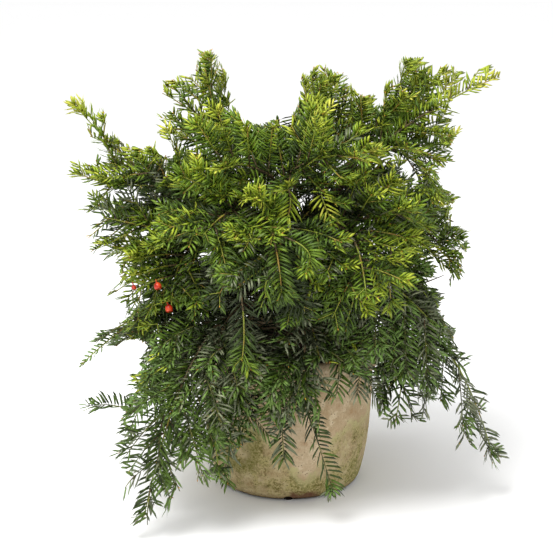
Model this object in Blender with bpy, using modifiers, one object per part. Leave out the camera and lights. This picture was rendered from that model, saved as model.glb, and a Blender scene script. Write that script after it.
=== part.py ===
"""An english yew grown as a spreading, weeping shrub in a weathered clay pot.

The pot stands on its flat underside at the origin, with +Z up and the fuller, lower foliage
towards -Y. A short trunk rises from the soil. Each bough is one tapering limb that leaves
the trunk and carries one or two masses of foliage. A mass is a stem with side twigs, each
ending in a flat toothed spray of needles. A full shoot has more twigs than these: the
solids carry every third one, with needles larger than life.
"""

import math
import random
from collections import namedtuple

import bmesh
import bpy
from mathutils import Vector
from mathutils.bvhtree import BVHTree

# Driving sizes, in metres
GAP = 0.0003
UP = Vector((0.0, 0.0, 1.0))

POT_HEIGHT = 0.205
POT_FOOT_RADIUS = 0.102
POT_BODY_RADIUS = 0.1205
POT_RIM_RADIUS = 0.128
POT_RIM_DEPTH = 0.034
POT_WALL = 0.0115
POT_FLOOR = 0.016
POT_STEPS = 24
DRAIN_RADIUS = 0.0075
DRAIN_COUNT = 3
SOIL_TOP = 0.188

TRUNK_FOOT = Vector((0.004, 0.002, SOIL_TOP + GAP))
TRUNK_TURN = Vector((-0.006, 0.004, 0.300))
TRUNK_TIP = Vector((0.008, 0.010, 0.405))
TRUNK_RADIUS = 0.0150
TRUNK_TIP_RADIUS = 0.0055
TRUNK_FLARE = 0.010

BOUGH_RADIUS = 0.0050
BOUGH_TIP_RADIUS = 0.0034
FORK_TIP_RADIUS = 0.0046
STEM_RADIUS = 0.0021
STEM_TIP_RADIUS = 0.0010

SPRAY_THICKNESS = 0.0017
SPRAY_HALF_WIDTH = 0.034
SPRAY_CORE = 0.0055
SLENDER = 0.42
LONG_TWIG = 0.118
TOOTH_SWEEP = 0.60
SIDE_TWIG_ANGLE = math.radians(50.0)
TIP_LEAN = math.radians(42.0)
FLAT_TURN = 180.0
SPIRAL_TURN = 144.0
STEM_SHARE = 0.74
STEM_RINGS = 4
BARE_SHARE = 0.20
CLEARANCE = 0.0011
LOWEST = 0.004

# A bough leaves the trunk at "base" and ends at a bearing, a reach from the axis and a
# height. Bearings are in degrees, with the front at -90 and the left at 180. "lift" raises
# its middle above the straight line. Each mass that it carries has a tip given the same
# way, a half width that its side twigs reach, the number of those twigs in the solids, and
# a sag, which is below zero where the twigs curve upwards.
Bough = namedtuple("Bough", "name base bearing reach height lift masses")
Mass = namedtuple("Mass", "name bearing reach height spread twigs sag seed")

BOUGHS = (
    Bough("left_high", 0.340, -172, 0.110, 0.400, 0.010, (
        Mass("left_spire", -176, 0.292, 0.545, 0.065, 4, -0.10, 6),
        Mass("left_upper", -160, 0.215, 0.480, 0.095, 4, 0.00, 4))),
    Bough("top_left", 0.372, 178, 0.055, 0.445, 0.000, (
        Mass("top_left", 180, 0.112, 0.602, 0.100, 5, -0.12, 12),)),
    Bough("top_front", 0.356, -100, 0.045, 0.425, 0.000, (
        Mass("top_front_left", -138, 0.155, 0.480, 0.100, 5, -0.05, 12),
        Mass("top_front_right", -50, 0.165, 0.495, 0.100, 5, -0.05, 10))),
    Bough("top_right", 0.362, 12, 0.075, 0.440, 0.000, (
        Mass("top_right", 2, 0.165, 0.585, 0.100, 5, -0.12, 12),)),
    Bough("right_high", 0.334, -8, 0.110, 0.465, 0.010, (
        Mass("right_arm", -4, 0.276, 0.575, 0.075, 4, 0.06, 11),
        Mass("right_hang", -14, 0.240, 0.455, 0.090, 4, 0.20, 9))),
    Bough("front_left", 0.322, -122, 0.090, 0.405, 0.020, (
        Mass("front_left", -119, 0.226, 0.400, 0.100, 5, 0.15, 1),)),
    Bough("front_middle", 0.292, -93, 0.095, 0.385, 0.020, (
        Mass("front_middle", -95, 0.240, 0.330, 0.100, 5, 0.20, 0),)),
    Bough("front_right", 0.308, -54, 0.095, 0.385, 0.020, (
        Mass("front_right", -66, 0.238, 0.326, 0.095, 5, 0.20, 3),
        Mass("right_front", -36, 0.205, 0.415, 0.095, 4, 0.10, 13))),
    Bough("right_middle", 0.286, -12, 0.105, 0.355, 0.015, (
        Mass("right_middle", -13, 0.252, 0.362, 0.100, 5, 0.10, 11),)),
    Bough("right_low", 0.262, -44, 0.105, 0.325, 0.015, (
        Mass("right_low", -33, 0.243, 0.250, 0.095, 5, 0.20, 8),)),
    Bough("left_middle", 0.288, -160, 0.105, 0.352, 0.015, (
        Mass("left_tip", -171, 0.280, 0.395, 0.090, 4, 0.05, 0),
        Mass("left_hang", -158, 0.235, 0.285, 0.085, 4, 0.20, 9),
        Mass("left_front", -137, 0.210, 0.295, 0.085, 4, 0.20, 8))),
    Bough("low_left", 0.246, -156, 0.115, 0.288, 0.022, (
        Mass("low_left_reach", -165, 0.294, 0.190, 0.030, 1, 0.10, 0),
        Mass("low_left_arch", -153, 0.285, 0.135, 0.085, 4, 0.20, 7),
        Mass("low_left_hang", -143, 0.222, 0.095, 0.075, 4, 0.20, 3))),
    Bough("low_front_left", 0.232, -122, 0.120, 0.280, 0.025, (
        Mass("weep_left", -131, 0.288, 0.030, 0.090, 5, 0.15, 11),
        Mass("weep_front_left", -114, 0.222, 0.075, 0.080, 4, 0.15, 9))),
    Bough("low_front", 0.240, -80, 0.115, 0.280, 0.022, (
        Mass("weep_front_middle", -93, 0.178, 0.085, 0.070, 4, 0.15, 0),
        Mass("weep_front_right", -66, 0.168, 0.045, 0.070, 4, 0.15, 0))),
    Bough("low_right", 0.234, -28, 0.120, 0.285, 0.025, (
        Mass("weep_right_front", -46, 0.205, 0.135, 0.075, 4, 0.20, 2),
        Mass("weep_right", -17, 0.295, 0.065, 0.075, 4, 0.15, 5))),
    Bough("top_back", 0.350, 92, 0.060, 0.425, 0.005, (
        Mass("top_back_left", 140, 0.185, 0.485, 0.100, 5, -0.05, 13),
        Mass("top_back_right", 52, 0.190, 0.505, 0.100, 4, -0.05, 0))),
    Bough("back_left", 0.290, 140, 0.105, 0.350, 0.015, (
        Mass("back_left", 160, 0.268, 0.360, 0.100, 4, 0.05, 6),
        Mass("back_middle_left", 115, 0.245, 0.372, 0.095, 4, 0.10, 0))),
    Bough("back_right", 0.300, 48, 0.105, 0.355, 0.015, (
        Mass("back_right", 26, 0.266, 0.350, 0.100, 4, 0.10, 13),
        Mass("back_middle_right", 72, 0.245, 0.362, 0.095, 4, 0.10, 4))),
    Bough("low_back_left", 0.236, 132, 0.120, 0.284, 0.025, (
        Mass("weep_back_left", 152, 0.276, 0.095, 0.090, 4, 0.15, 12),
        Mass("weep_back", 104, 0.256, 0.065, 0.090, 4, 0.15, 1))),
    Bough("low_back_right", 0.230, 46, 0.120, 0.282, 0.025, (
        Mass("weep_back_right", 44, 0.268, 0.080, 0.090, 4, 0.15, 0),)),
)
LEADER_MASS = Mass("centre_spire", 15, 0.060, 0.570, 0.095, 5, -0.12, 11)

Path = namedtuple("Path", "start turn end side")
Form = namedtuple("Form", "points faces")


def clear_scene():
    for obj in list(bpy.data.objects):
        bpy.data.objects.remove(obj, do_unlink=True)


def collection(name):
    made = bpy.data.collections.new(name)
    bpy.context.scene.collection.children.link(made)
    return made


def material(name, colour, roughness):
    made = bpy.data.materials.new(name)
    made.use_nodes = True
    shader = made.node_tree.nodes["Principled BSDF"]
    shader.inputs["Base Color"].default_value = (*colour, 1.0)
    shader.inputs["Roughness"].default_value = roughness
    shader.inputs["Metallic"].default_value = 0.0
    return made


# Paths: one quadratic curve each, with a reference direction across it

def round_axis(bearing, reach, height):
    angle = math.radians(bearing)
    return Vector((reach * math.cos(angle), reach * math.sin(angle), height))


def across(bearing):
    angle = math.radians(bearing)
    return Vector((-math.sin(angle), math.cos(angle), 0.0))


def point(path, share):
    before = path.start.lerp(path.turn, share)
    return before.lerp(path.turn.lerp(path.end, share), share)


def heading(path, share):
    return ((path.turn - path.start).lerp(path.end - path.turn, share)).normalized()


def frame(path, share):
    """The direction along the path, the one across it, and the one that its upper side faces."""
    along = heading(path, share)
    upper = along.cross(path.side).normalized()
    return along, upper.cross(along), upper


def length(path):
    return (path.turn - path.start).length * 0.5 + (path.end - path.start).length * 0.5


# Straight unit forms, which are then bent along their paths

def unit_tube(sides, segments):
    """A closed prism of radius 1 along Z from 0 to 1, ringed at equal steps."""
    shape = bmesh.new()
    bmesh.ops.create_cone(shape, cap_ends=True, segments=sides, radius1=1.0, radius2=1.0, depth=1.0)
    bmesh.ops.translate(shape, verts=shape.verts, vec=(0.0, 0.0, 0.5))
    for ring in range(1, segments):
        everything = shape.verts[:] + shape.edges[:] + shape.faces[:]
        height = (0.0, 0.0, ring / segments)
        bmesh.ops.bisect_plane(shape, geom=everything, plane_co=height, plane_no=(0.0, 0.0, 1.0))
    return form_of(shape)


def unit_spray(teeth, root):
    """A flat toothed blade along X from 0 to 1, with teeth out to Y -1 and 1. The teeth start
    after the bare share root, point forward, and shorten towards the tip."""
    core = SPRAY_CORE / SPRAY_HALF_WIDTH
    pitch = (1.0 - root) / (teeth + 0.5)
    edges = []
    for side, shift in ((1.0, 0.0), (-1.0, 0.35)):
        edge = [(0.0, side * core * 0.55)]
        for tooth in range(teeth):
            foot = root + (tooth + shift) * pitch
            reach = 0.80 + 0.45 * math.sin(math.pi * (tooth + 0.8) / (teeth + 0.8)) - 0.30 * tooth / teeth
            edge.append((foot, side * core))
            edge.append((foot + TOOTH_SWEEP * pitch * 1.15, side * min(1.0, reach)))
        edges.append(edge)
    outline = edges[0] + [(1.0, 0.0)] + edges[1][::-1]
    flat = bpy.data.curves.new("spray_outline", "CURVE")
    flat.dimensions = "2D"
    flat.fill_mode = "BOTH"
    flat.extrude = 0.5
    line = flat.splines.new("POLY")
    line.points.add(len(outline) - 1)
    for spot, (x, y) in zip(line.points, outline):
        spot.co = (x, y, 0.0, 1.0)
    line.use_cyclic_u = True
    holder = bpy.data.objects.new("spray_outline", flat)
    bpy.context.scene.collection.objects.link(holder)
    graph = bpy.context.evaluated_depsgraph_get()
    mesh = bpy.data.meshes.new_from_object(holder.evaluated_get(graph))
    bpy.data.objects.remove(holder)
    shape = bmesh.new()
    shape.from_mesh(mesh)
    bpy.data.meshes.remove(mesh)
    bmesh.ops.remove_doubles(shape, verts=shape.verts, dist=1e-5)
    return form_of(shape)


def form_of(shape):
    bmesh.ops.recalc_face_normals(shape, faces=shape.faces)
    shape.verts.index_update()
    points = [vertex.co.copy() for vertex in shape.verts]
    faces = [[vertex.index for vertex in face.verts] for face in shape.faces]
    shape.free()
    return Form(points, faces)


def bent_tube(form, path, first, last, radius_at):
    points = []
    for spot in form.points:
        share = first + (last - first) * spot.z
        along, side, upper = frame(path, share)
        radius = radius_at(spot.z)
        points.append(point(path, share) + side * (spot.x * radius) + upper * (spot.y * radius))
    return Form(points, form.faces)


def bent_spray(form, path, first, last, half_width, swell=0.0):
    points = []
    for spot in form.points:
        share = first + (last - first) * spot.x
        along, side, upper = frame(path, share)
        width = spot.y * (half_width + swell)
        depth = spot.z * (SPRAY_THICKNESS + 2.0 * swell)
        points.append(point(path, share) + side * width + upper * depth)
    return Form(points, form.faces)


def taper(start, end):
    return lambda share: start + (end - start) * share


def node(name, form, finish, home):
    mesh = bpy.data.meshes.new(name)
    mesh.from_pydata(form.points, [], form.faces)
    mesh.materials.append(finish)
    made = bpy.data.objects.new(name, mesh)
    home.objects.link(made)
    return made


def boolean(obj, operation, other, solver):
    change = obj.modifiers.new(operation.title(), "BOOLEAN")
    change.operation = operation
    change.solver = solver
    if isinstance(other, bpy.types.Collection):
        change.operand_type = "COLLECTION"
        change.collection = other
    else:
        change.object = other


def settle(obj):
    """Replaces an object's mesh by what its modifiers make of it."""
    graph = bpy.context.evaluated_depsgraph_get()
    mesh = bpy.data.meshes.new_from_object(obj.evaluated_get(graph))
    obj.modifiers.clear()
    obj.data = mesh


def tree_of(form):
    return BVHTree.FromPolygons(form.points, form.faces)


def tree_of_object(obj):
    return tree_of(Form([v.co.copy() for v in obj.data.vertices], [list(p.vertices) for p in obj.data.polygons]))


# Pot and soil

def turned(name, outline, finish, home):
    """A profile of (radius, height) turned about the Z axis."""
    mesh = bpy.data.meshes.new(name)
    spots = [(radius, 0.0, height) for radius, height in outline]
    mesh.from_pydata(spots, [(i, i + 1) for i in range(len(spots) - 1)], [])
    made = bpy.data.objects.new(name, mesh)
    home.objects.link(made)
    screw = made.modifiers.new("Screw", "SCREW")
    screw.steps = screw.render_steps = POT_STEPS
    screw.use_merge_vertices = True
    screw.merge_threshold = 0.00001
    screw.use_normal_calculate = True
    settle(made)
    made.data.materials.append(finish)
    return made


def inner_radius(height):
    """The pot's inner wall, which follows its body."""
    share = height / POT_HEIGHT
    return POT_FOOT_RADIUS + (POT_BODY_RADIUS - POT_FOOT_RADIUS) * share ** 0.6 - POT_WALL


def make_pot(finish, home, cutters):
    rim_foot = POT_HEIGHT - POT_RIM_DEPTH
    outline = [
        (0.0, POT_HEIGHT * 0.0),
        (POT_FOOT_RADIUS - 0.006, 0.0),
        (POT_FOOT_RADIUS, 0.006),
        (POT_FOOT_RADIUS + 0.0065, 0.028),
        (POT_FOOT_RADIUS + 0.0135, 0.070),
        (POT_BODY_RADIUS - 0.0015, 0.105),
        (POT_BODY_RADIUS, rim_foot - 0.004),
        (POT_RIM_RADIUS - 0.002, rim_foot),
        (POT_RIM_RADIUS, rim_foot + 0.004),
        (POT_RIM_RADIUS, POT_HEIGHT - 0.006),
        (POT_RIM_RADIUS - 0.003, POT_HEIGHT),
        (POT_RIM_RADIUS - 0.009, POT_HEIGHT),
        (inner_radius(POT_HEIGHT - 0.010), POT_HEIGHT - 0.010),
        (inner_radius(0.110), 0.110),
        (inner_radius(0.050), 0.050),
        (inner_radius(POT_FLOOR + 0.006), POT_FLOOR + 0.006),
        (inner_radius(POT_FLOOR) - 0.008, POT_FLOOR),
        (0.0, POT_FLOOR),
    ]
    pot = turned("pot", outline[::-1], finish, home)
    for hole in range(DRAIN_COUNT):
        bearing = -90.0 + 360.0 * hole / DRAIN_COUNT
        inside = round_axis(bearing, POT_FOOT_RADIUS - 0.024, 0.0)
        outside = round_axis(bearing, POT_FOOT_RADIUS + 0.020, 0.0)
        bore = Path(inside, (inside + outside) / 2.0, outside, across(bearing))
        form = bent_tube(unit_tube(12, 1), bore, 0.0, 1.0, lambda share: DRAIN_RADIUS)
        cutter = node(f"drain_cutter_{hole + 1}", form, finish, cutters)
        cutter.hide_render = True
        cutter.display_type = "WIRE"
        boolean(pot, "DIFFERENCE", cutter, "EXACT")
    settle(pot)
    return pot


def make_soil(finish, home):
    floor = POT_FLOOR + GAP
    outline = [
        (0.0, floor),
        (inner_radius(POT_FLOOR) - 0.008 - GAP, floor),
        (inner_radius(POT_FLOOR + 0.006) - 2 * GAP, POT_FLOOR + 0.006 + GAP),
        (inner_radius(0.050) - 2 * GAP, 0.050),
        (inner_radius(0.110) - 2 * GAP, 0.110),
        (inner_radius(0.110) + 0.0020, SOIL_TOP - 0.004),
        (inner_radius(0.110) - 0.0030, SOIL_TOP),
        (0.0, SOIL_TOP),
    ]
    return turned("soil", outline[::-1], finish, home)


# Trunk and boughs

def trunk_radius(share):
    flare = TRUNK_FLARE * math.exp(-share * 9.0)
    return TRUNK_RADIUS + (TRUNK_TIP_RADIUS - TRUNK_RADIUS) * share + flare


def trunk_path():
    return Path(TRUNK_FOOT, TRUNK_TURN, TRUNK_TIP, across(0.0))


def trunk_spot(height):
    """The point on the trunk's axis at a height."""
    low, high = 0.0, 1.0
    for _ in range(24):
        middle = (low + high) / 2.0
        if point(trunk_path(), middle).z < height:
            low = middle
        else:
            high = middle
    return point(trunk_path(), low)


def bough_path(bough):
    start = trunk_spot(bough.base)
    end = round_axis(bough.bearing, bough.reach, bough.height)
    turn = start.lerp(end, 0.5) + UP * bough.lift
    return Path(start, turn, end, across(bough.bearing))


def make_trunk(finish, home):
    form = bent_tube(unit_tube(8, 7), trunk_path(), 0.0, 1.0, trunk_radius)
    foot = min(spot.z for spot in form.points)
    level = [Vector((s.x, s.y, TRUNK_FOOT.z if s.z < foot + 0.004 else s.z)) for s in form.points]
    return node("trunk", Form(level, form.faces), finish, home)


def make_bough(bough, sleeve, finish, home):
    """A tapering limb from the trunk's axis, cut back to the trunk's surface."""
    tip = FORK_TIP_RADIUS if len(bough.masses) > 1 else BOUGH_TIP_RADIUS
    form = bent_tube(unit_tube(5, 3), bough_path(bough), 0.0, 1.0, taper(BOUGH_RADIUS, tip))
    made = node("bough_" + bough.name, form, finish, home)
    boolean(made, "DIFFERENCE", sleeve, "EXACT")
    settle(made)
    return made


# Foliage

def mass_path(mass, root, along):
    """A stem that goes on in its limb's direction and then bends over to the mass's tip."""
    start = root + along * GAP
    end = round_axis(mass.bearing, mass.reach, mass.height)
    turn = start + along * (0.45 * (end - start).length)
    along, side, upper = frame(Path(start, turn, end, across(mass.bearing)), 1.0)
    leans = [side * math.cos(lean) + upper * math.sin(lean) for lean in (-TIP_LEAN, TIP_LEAN)]
    return Path(start, turn, end, max(leans, key=lambda lean: abs(lean.x)))


def stems_of(bough):
    """The paths of a bough's masses, whose roots stand side by side against its end."""
    path = bough_path(bough)
    along, side, upper = frame(path, 1.0)
    count = len(bough.masses)
    tips = [round_axis(mass.bearing, mass.reach, mass.height) for mass in bough.masses]
    middle = sum(tips, Vector()) / count
    angles = [math.atan2((tip - middle).dot(upper), (tip - middle).dot(side)) for tip in tips]
    order = sorted(range(count), key=lambda number: angles[number])
    spacing = 0.0 if count == 1 else (STEM_RADIUS + GAP) / math.sin(math.pi / count)
    for slot, number in enumerate(order):
        angle = angles[order[0]] + 2.0 * math.pi * slot / count
        aside = (side * math.cos(angle) + upper * math.sin(angle)) * spacing
        yield bough.masses[number], mass_path(bough.masses[number], path.end + aside, along)


def on_stem(stem, share):
    """The point on the axis of the stem's straight lengths, between two of its rings."""
    step = STEM_SHARE / STEM_RINGS
    ring = int(share / step)
    return point(stem, ring * step).lerp(point(stem, (ring + 1) * step), share / step - ring)


def twig_path(mass, stem, station, stations, trial):
    """The side twig at one station: its place, angle, roll and length, from the mass's seed."""
    chance = random.Random(f"{mass.name} {mass.seed} {station}")
    share = 0.12 + 0.76 * station / (stations - 1)
    along, side, upper = frame(stem, share)
    turn = SPIRAL_TURN if mass.sag < 0.0 else FLAT_TURN
    angle = SIDE_TWIG_ANGLE + math.radians(chance.uniform(-9.0, 9.0))
    roll = math.radians(turn * station + chance.uniform(-40.0, 40.0) + trial.roll)
    tilt = math.radians(chance.uniform(-55.0, 55.0))
    reach = mass.spread * (1.15 - 0.65 * share) * chance.uniform(0.88, 1.12) * trial.size
    outward = side * math.cos(roll) + upper * math.sin(roll)
    lead = along * math.cos(angle) + outward * math.sin(angle)
    start = on_stem(stem, share)
    end = start + lead * reach - UP * (mass.sag * reach)
    flat = (upper - lead * upper.dot(lead)).normalized()
    edge = flat.cross(lead)
    return Path(start, start + lead * (reach * 0.5), end, edge * math.cos(tilt) + flat * math.sin(tilt))


Trial = namedtuple("Trial", "size roll")
TRIALS = tuple(Trial(size, roll) for size in (1.0, 0.8, 0.62) for roll in (0.0, 28.0, -28.0, 50.0))


class Foliage:
    """Grows every mass in its own space, clear of the limbs and of each other."""

    def __init__(self, limbs, home):
        self.home = home
        self.limbs = [tree_of_object(limb) for limb in limbs]
        self.stem_tube = unit_tube(3, STEM_RINGS)
        self.sprays = {teeth: unit_spray(teeth, BARE_SHARE) for teeth in (2, 3)}
        self.pieces = {}
        self.trees = {}

    def spray(self, path, first, teeth, swell=0.0):
        run = length(path) * (1.0 - first)
        return bent_spray(self.sprays[teeth], path, first, 1.0, min(SPRAY_HALF_WIDTH, SLENDER * run), swell)

    def free(self, form, name, crossing):
        """Whether a form keeps clear of the ground, the limbs, the other masses and, unless
        crossing is allowed, its own mass's other sprays."""
        if min(spot.z for spot in form.points) < LOWEST:
            return False
        tree = tree_of(form)
        others = self.limbs + [other for owner, trees in self.trees.items() if owner != name for other in trees]
        own = [] if crossing else self.trees[name][1:]
        return not any(tree.overlap(other) for other in others + own)

    def keep(self, name, form):
        self.pieces.setdefault(name, []).append(form)
        self.trees.setdefault(name, []).append(tree_of(form))

    def stem(self, mass, path):
        tube = bent_tube(self.stem_tube, path, 0.0, STEM_SHARE, taper(STEM_RADIUS, STEM_TIP_RADIUS))
        tip = self.spray(path, STEM_SHARE - 0.06, 2)
        if not (self.free(tube, mass.name, True) and self.free(tip, mass.name, True)):
            print("stem meets something:", mass.name)
        self.keep(mass.name, tube)
        self.keep(mass.name, tip)

    def twigs(self, mass, path):
        stations = 3 * mass.twigs + 2
        for station in range(1, 3 * mass.twigs, 3):
            for crossing, trial in [(False, trial) for trial in TRIALS] + [(True, trial) for trial in TRIALS]:
                twig = twig_path(mass, path, station, stations, trial)
                teeth = 2 if length(twig) < LONG_TWIG else 3
                if self.free(self.spray(twig, 0.0, teeth, CLEARANCE), mass.name, crossing):
                    self.keep(mass.name, self.spray(twig, 0.0, teeth))
                    break
            else:
                print("skipped twig:", mass.name, station)

    def fuse(self, mass, finish):
        """One closed solid from a mass's stem, twigs and sprays."""
        extra = collection("joining")
        stem, *rest = self.pieces[mass.name]
        made = node("foliage_" + mass.name, stem, finish, self.home)
        for number, form in enumerate(rest):
            node(f"joining_{number}", form, finish, extra)
        boolean(made, "UNION", extra, "MANIFOLD")
        settle(made)
        for piece in list(extra.objects):
            bpy.data.objects.remove(piece)
        bpy.data.collections.remove(extra)
        return made


def main():
    clear_scene()
    home = collection("english_yew")
    cutters = collection("cutters")
    clay = material("weathered_clay", (0.42, 0.33, 0.21), 0.85)
    earth = material("soil", (0.045, 0.030, 0.020), 0.95)
    bark = material("bark", (0.16, 0.085, 0.055), 0.85)
    bright = material("needles_bright", (0.16, 0.25, 0.035), 0.5)
    shade = material("needles_shade", (0.045, 0.085, 0.035), 0.5)

    pot = make_pot(clay, home, cutters)
    soil = make_soil(earth, home)
    trunk = make_trunk(bark, home)
    sleeve_form = bent_tube(unit_tube(8, 7), trunk_path(), 0.0, 1.0, lambda share: trunk_radius(share) + GAP)
    sleeve = node("trunk_sleeve", sleeve_form, bark, cutters)
    sleeve.hide_render = True
    sleeve.display_type = "WIRE"
    boughs = {bough.name: make_bough(bough, sleeve, bark, home) for bough in BOUGHS}

    foliage = Foliage([pot, soil, trunk, *boughs.values()], home)
    grown = [(LEADER_MASS, mass_path(LEADER_MASS, TRUNK_TIP, heading(trunk_path(), 1.0)))]
    for bough in BOUGHS:
        grown.extend(stems_of(bough))
    for mass, path in grown:
        foliage.stem(mass, path)
    for mass, path in grown:
        foliage.twigs(mass, path)
    for mass, path in grown:
        foliage.fuse(mass, bright if mass.height > 0.27 else shade)


main()
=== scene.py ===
import math
import random
from collections import namedtuple

import bmesh
import bpy
import numpy as np
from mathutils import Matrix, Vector, noise


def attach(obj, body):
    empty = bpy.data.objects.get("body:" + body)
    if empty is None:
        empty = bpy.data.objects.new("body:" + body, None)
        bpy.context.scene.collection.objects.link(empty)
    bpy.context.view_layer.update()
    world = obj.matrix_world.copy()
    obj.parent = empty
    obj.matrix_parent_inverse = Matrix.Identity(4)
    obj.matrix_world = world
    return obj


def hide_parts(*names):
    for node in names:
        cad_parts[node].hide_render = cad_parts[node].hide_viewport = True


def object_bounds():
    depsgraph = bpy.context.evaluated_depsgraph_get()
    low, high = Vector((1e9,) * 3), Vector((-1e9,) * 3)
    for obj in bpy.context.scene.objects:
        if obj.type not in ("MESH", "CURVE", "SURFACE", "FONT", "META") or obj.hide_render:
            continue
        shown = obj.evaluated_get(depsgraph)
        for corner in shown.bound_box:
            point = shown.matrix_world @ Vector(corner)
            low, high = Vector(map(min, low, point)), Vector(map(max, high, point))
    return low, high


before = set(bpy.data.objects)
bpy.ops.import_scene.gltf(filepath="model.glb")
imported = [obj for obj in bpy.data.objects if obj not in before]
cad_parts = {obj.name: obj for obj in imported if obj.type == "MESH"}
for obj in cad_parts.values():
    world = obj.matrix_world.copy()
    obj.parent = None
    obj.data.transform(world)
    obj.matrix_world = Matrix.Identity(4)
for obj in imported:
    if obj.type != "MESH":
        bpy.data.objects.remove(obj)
cad_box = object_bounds()


# The pot: a thick clay pot turned on a wheel, with a rolled band at its lip and three drain
# notches cut in its foot. Years outdoors have left it pitted, bloomed with lime, and green with
# algae up to a tide line. It is one spun wall, cut by three bores and then roughened.
POT_HEIGHT = 0.205
POT_FOOT_RADIUS = 0.102
POT_BODY_RADIUS = 0.1205
POT_RIM_RADIUS = 0.128
POT_RIM_DEPTH = 0.034
POT_WALL = 0.0115
POT_FLOOR = 0.016
POT_STEPS = 176
POT_FACE = 0.0034
DRAIN_RADIUS = 0.0075
DRAIN_LENGTH = 0.044
DRAIN_BEARINGS = (-90.0, 30.0, 150.0)
MERGED = 0.00002


def as_object(name, shape):
    """An object at the origin with the mesh of a bmesh, which is freed."""
    mesh = bpy.data.meshes.new(name)
    shape.to_mesh(mesh)
    shape.free()
    made = bpy.data.objects.new(name, mesh)
    bpy.context.scene.collection.objects.link(made)
    return made


def shown(name, shape, finish):
    """A smooth piece of the finished plant, riding on its one body."""
    piece = as_object(name, shape)
    piece.data.materials.append(finish)
    piece.data.polygons.foreach_set("use_smooth", [True] * len(piece.data.polygons))
    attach(piece, "root")
    return piece


def outlined(shape, outline):
    """The vertices and edges of an outline of radii and heights."""
    loop = [shape.verts.new((radius, 0.0, height)) for radius, height in outline]
    return loop, [shape.edges.new(pair) for pair in zip(loop, loop[1:])]


def spun(shape, outline, steps):
    """Spins an outline one full turn."""
    bmesh.ops.spin(shape, geom=outline, cent=(0, 0, 0), axis=(0, 0, 1), dvec=(0, 0, 0),
                   angle=2.0 * math.pi, steps=steps, use_merge=True)


def turned_and_set(shape, part, turn, place):
    """Turns a part of a shape about the origin and moves it to its place."""
    bmesh.ops.rotate(shape, verts=part, cent=(0, 0, 0), matrix=turn)
    bmesh.ops.translate(shape, verts=part, vec=place)


def new_finish(name, roughness, specular):
    """A material, with a function that adds a node and one that feeds its shader."""
    finish = bpy.data.materials.new(name)
    finish.use_nodes = True
    tree = finish.node_tree
    shader = tree.nodes["Principled BSDF"]

    def feed(socket, value):
        if isinstance(value, bpy.types.NodeSocket):
            tree.links.new(value, socket)
        else:
            socket.default_value = value

    def add(kind, inputs=(), **settings):
        node = tree.nodes.new("ShaderNode" + kind)
        for key, value in settings.items():
            setattr(node, key, value)
        for key, value in dict(inputs).items():
            feed(node.inputs[key], value)
        return node

    def coat(key, value):
        feed(shader.inputs[key], value)

    coat("Roughness", roughness)
    coat("Specular IOR Level", specular)
    return finish, add, coat


def linear(code):
    """The linear colour of a six-figure hexadecimal one."""
    parts = [int(code[i:i + 2], 16) / 255.0 for i in (0, 2, 4)]
    return (*[p / 12.92 if p <= 0.04045 else ((p + 0.055) / 1.055) ** 2.4 for p in parts], 1.0)


def mixed(add, factor, *colours):
    """The output of a mix of two colours, each a socket or a six-figure code."""
    first, second = (linear(c) if isinstance(c, str) else c for c in colours)
    return add("Mix", {0: factor, 6: first, 7: second}, data_type="RGBA").outputs[2]


def stepped(add, value, low, high):
    """A smooth step of a socket's value from 0 at low to 1 at high."""
    node = add("MapRange", {0: value, 1: low, 2: high}, interpolation_type="SMOOTHSTEP")
    return node.outputs[0]


def sums(add, operation, first, second=0.5, third=0.5):
    """The output of a sum with sockets or numbers."""
    return add("Math", {0: first, 1: second, 2: third}, operation=operation).outputs[0]


def times(add, first, second):
    return sums(add, "MULTIPLY", first, second)


def mottle(add, place, scale, detail, roughness=0.5):
    """A noise that drifts about 0.5 from place to place."""
    node = add("TexNoise", {"Vector": place, "Scale": scale, "Detail": detail, "Roughness": roughness})
    return node.outputs["Fac"]


def round_axis(bearing, reach, height):
    """The point at a bearing in degrees and a distance from the pot's axis."""
    angle = math.radians(bearing)
    return Vector((reach * math.cos(angle), reach * math.sin(angle), height))


def inner_radius(height):
    """The radius of the pot's inner face at a height."""
    share = height / POT_HEIGHT
    return POT_FOOT_RADIUS + (POT_BODY_RADIUS - POT_FOOT_RADIUS) * share ** 0.6 - POT_WALL


rim_foot = POT_HEIGHT - POT_RIM_DEPTH
pot_outline = [
    (0.0, 0.0),
    (POT_FOOT_RADIUS - 0.008, 0.0),
    (POT_FOOT_RADIUS - 0.002, 0.002),
    (POT_FOOT_RADIUS + 0.002, 0.008),
    (POT_FOOT_RADIUS + 0.0068, 0.026),
    (POT_FOOT_RADIUS + 0.0110, 0.048),
    (POT_FOOT_RADIUS + 0.0138, 0.070),
    (POT_BODY_RADIUS - 0.0020, 0.105),
    (POT_BODY_RADIUS - 0.0006, 0.135),
    (POT_BODY_RADIUS, rim_foot - 0.003),
    (POT_RIM_RADIUS - 0.002, rim_foot),
    (POT_RIM_RADIUS, rim_foot + 0.004),
    (POT_RIM_RADIUS - 0.0008, rim_foot + 0.018),
    (POT_RIM_RADIUS, POT_HEIGHT - 0.008),
    (POT_RIM_RADIUS - 0.003, POT_HEIGHT),
    (POT_RIM_RADIUS - 0.010, POT_HEIGHT),
    (inner_radius(POT_HEIGHT - 0.010), POT_HEIGHT - 0.010),
    (inner_radius(0.110), 0.110),
    (inner_radius(POT_FLOOR + 0.006), POT_FLOOR + 0.006),
    (inner_radius(POT_FLOOR) - 0.008, POT_FLOOR),
    (0.0, POT_FLOOR),
]
shape = bmesh.new()
outlined(shape, pot_outline)
for edge in shape.edges[:]:
    bmesh.ops.subdivide_edges(shape, edges=[edge], cuts=int(edge.calc_length() / POT_FACE))
corners = [vertex for vertex in shape.verts if len(vertex.link_edges) == 2]
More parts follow.
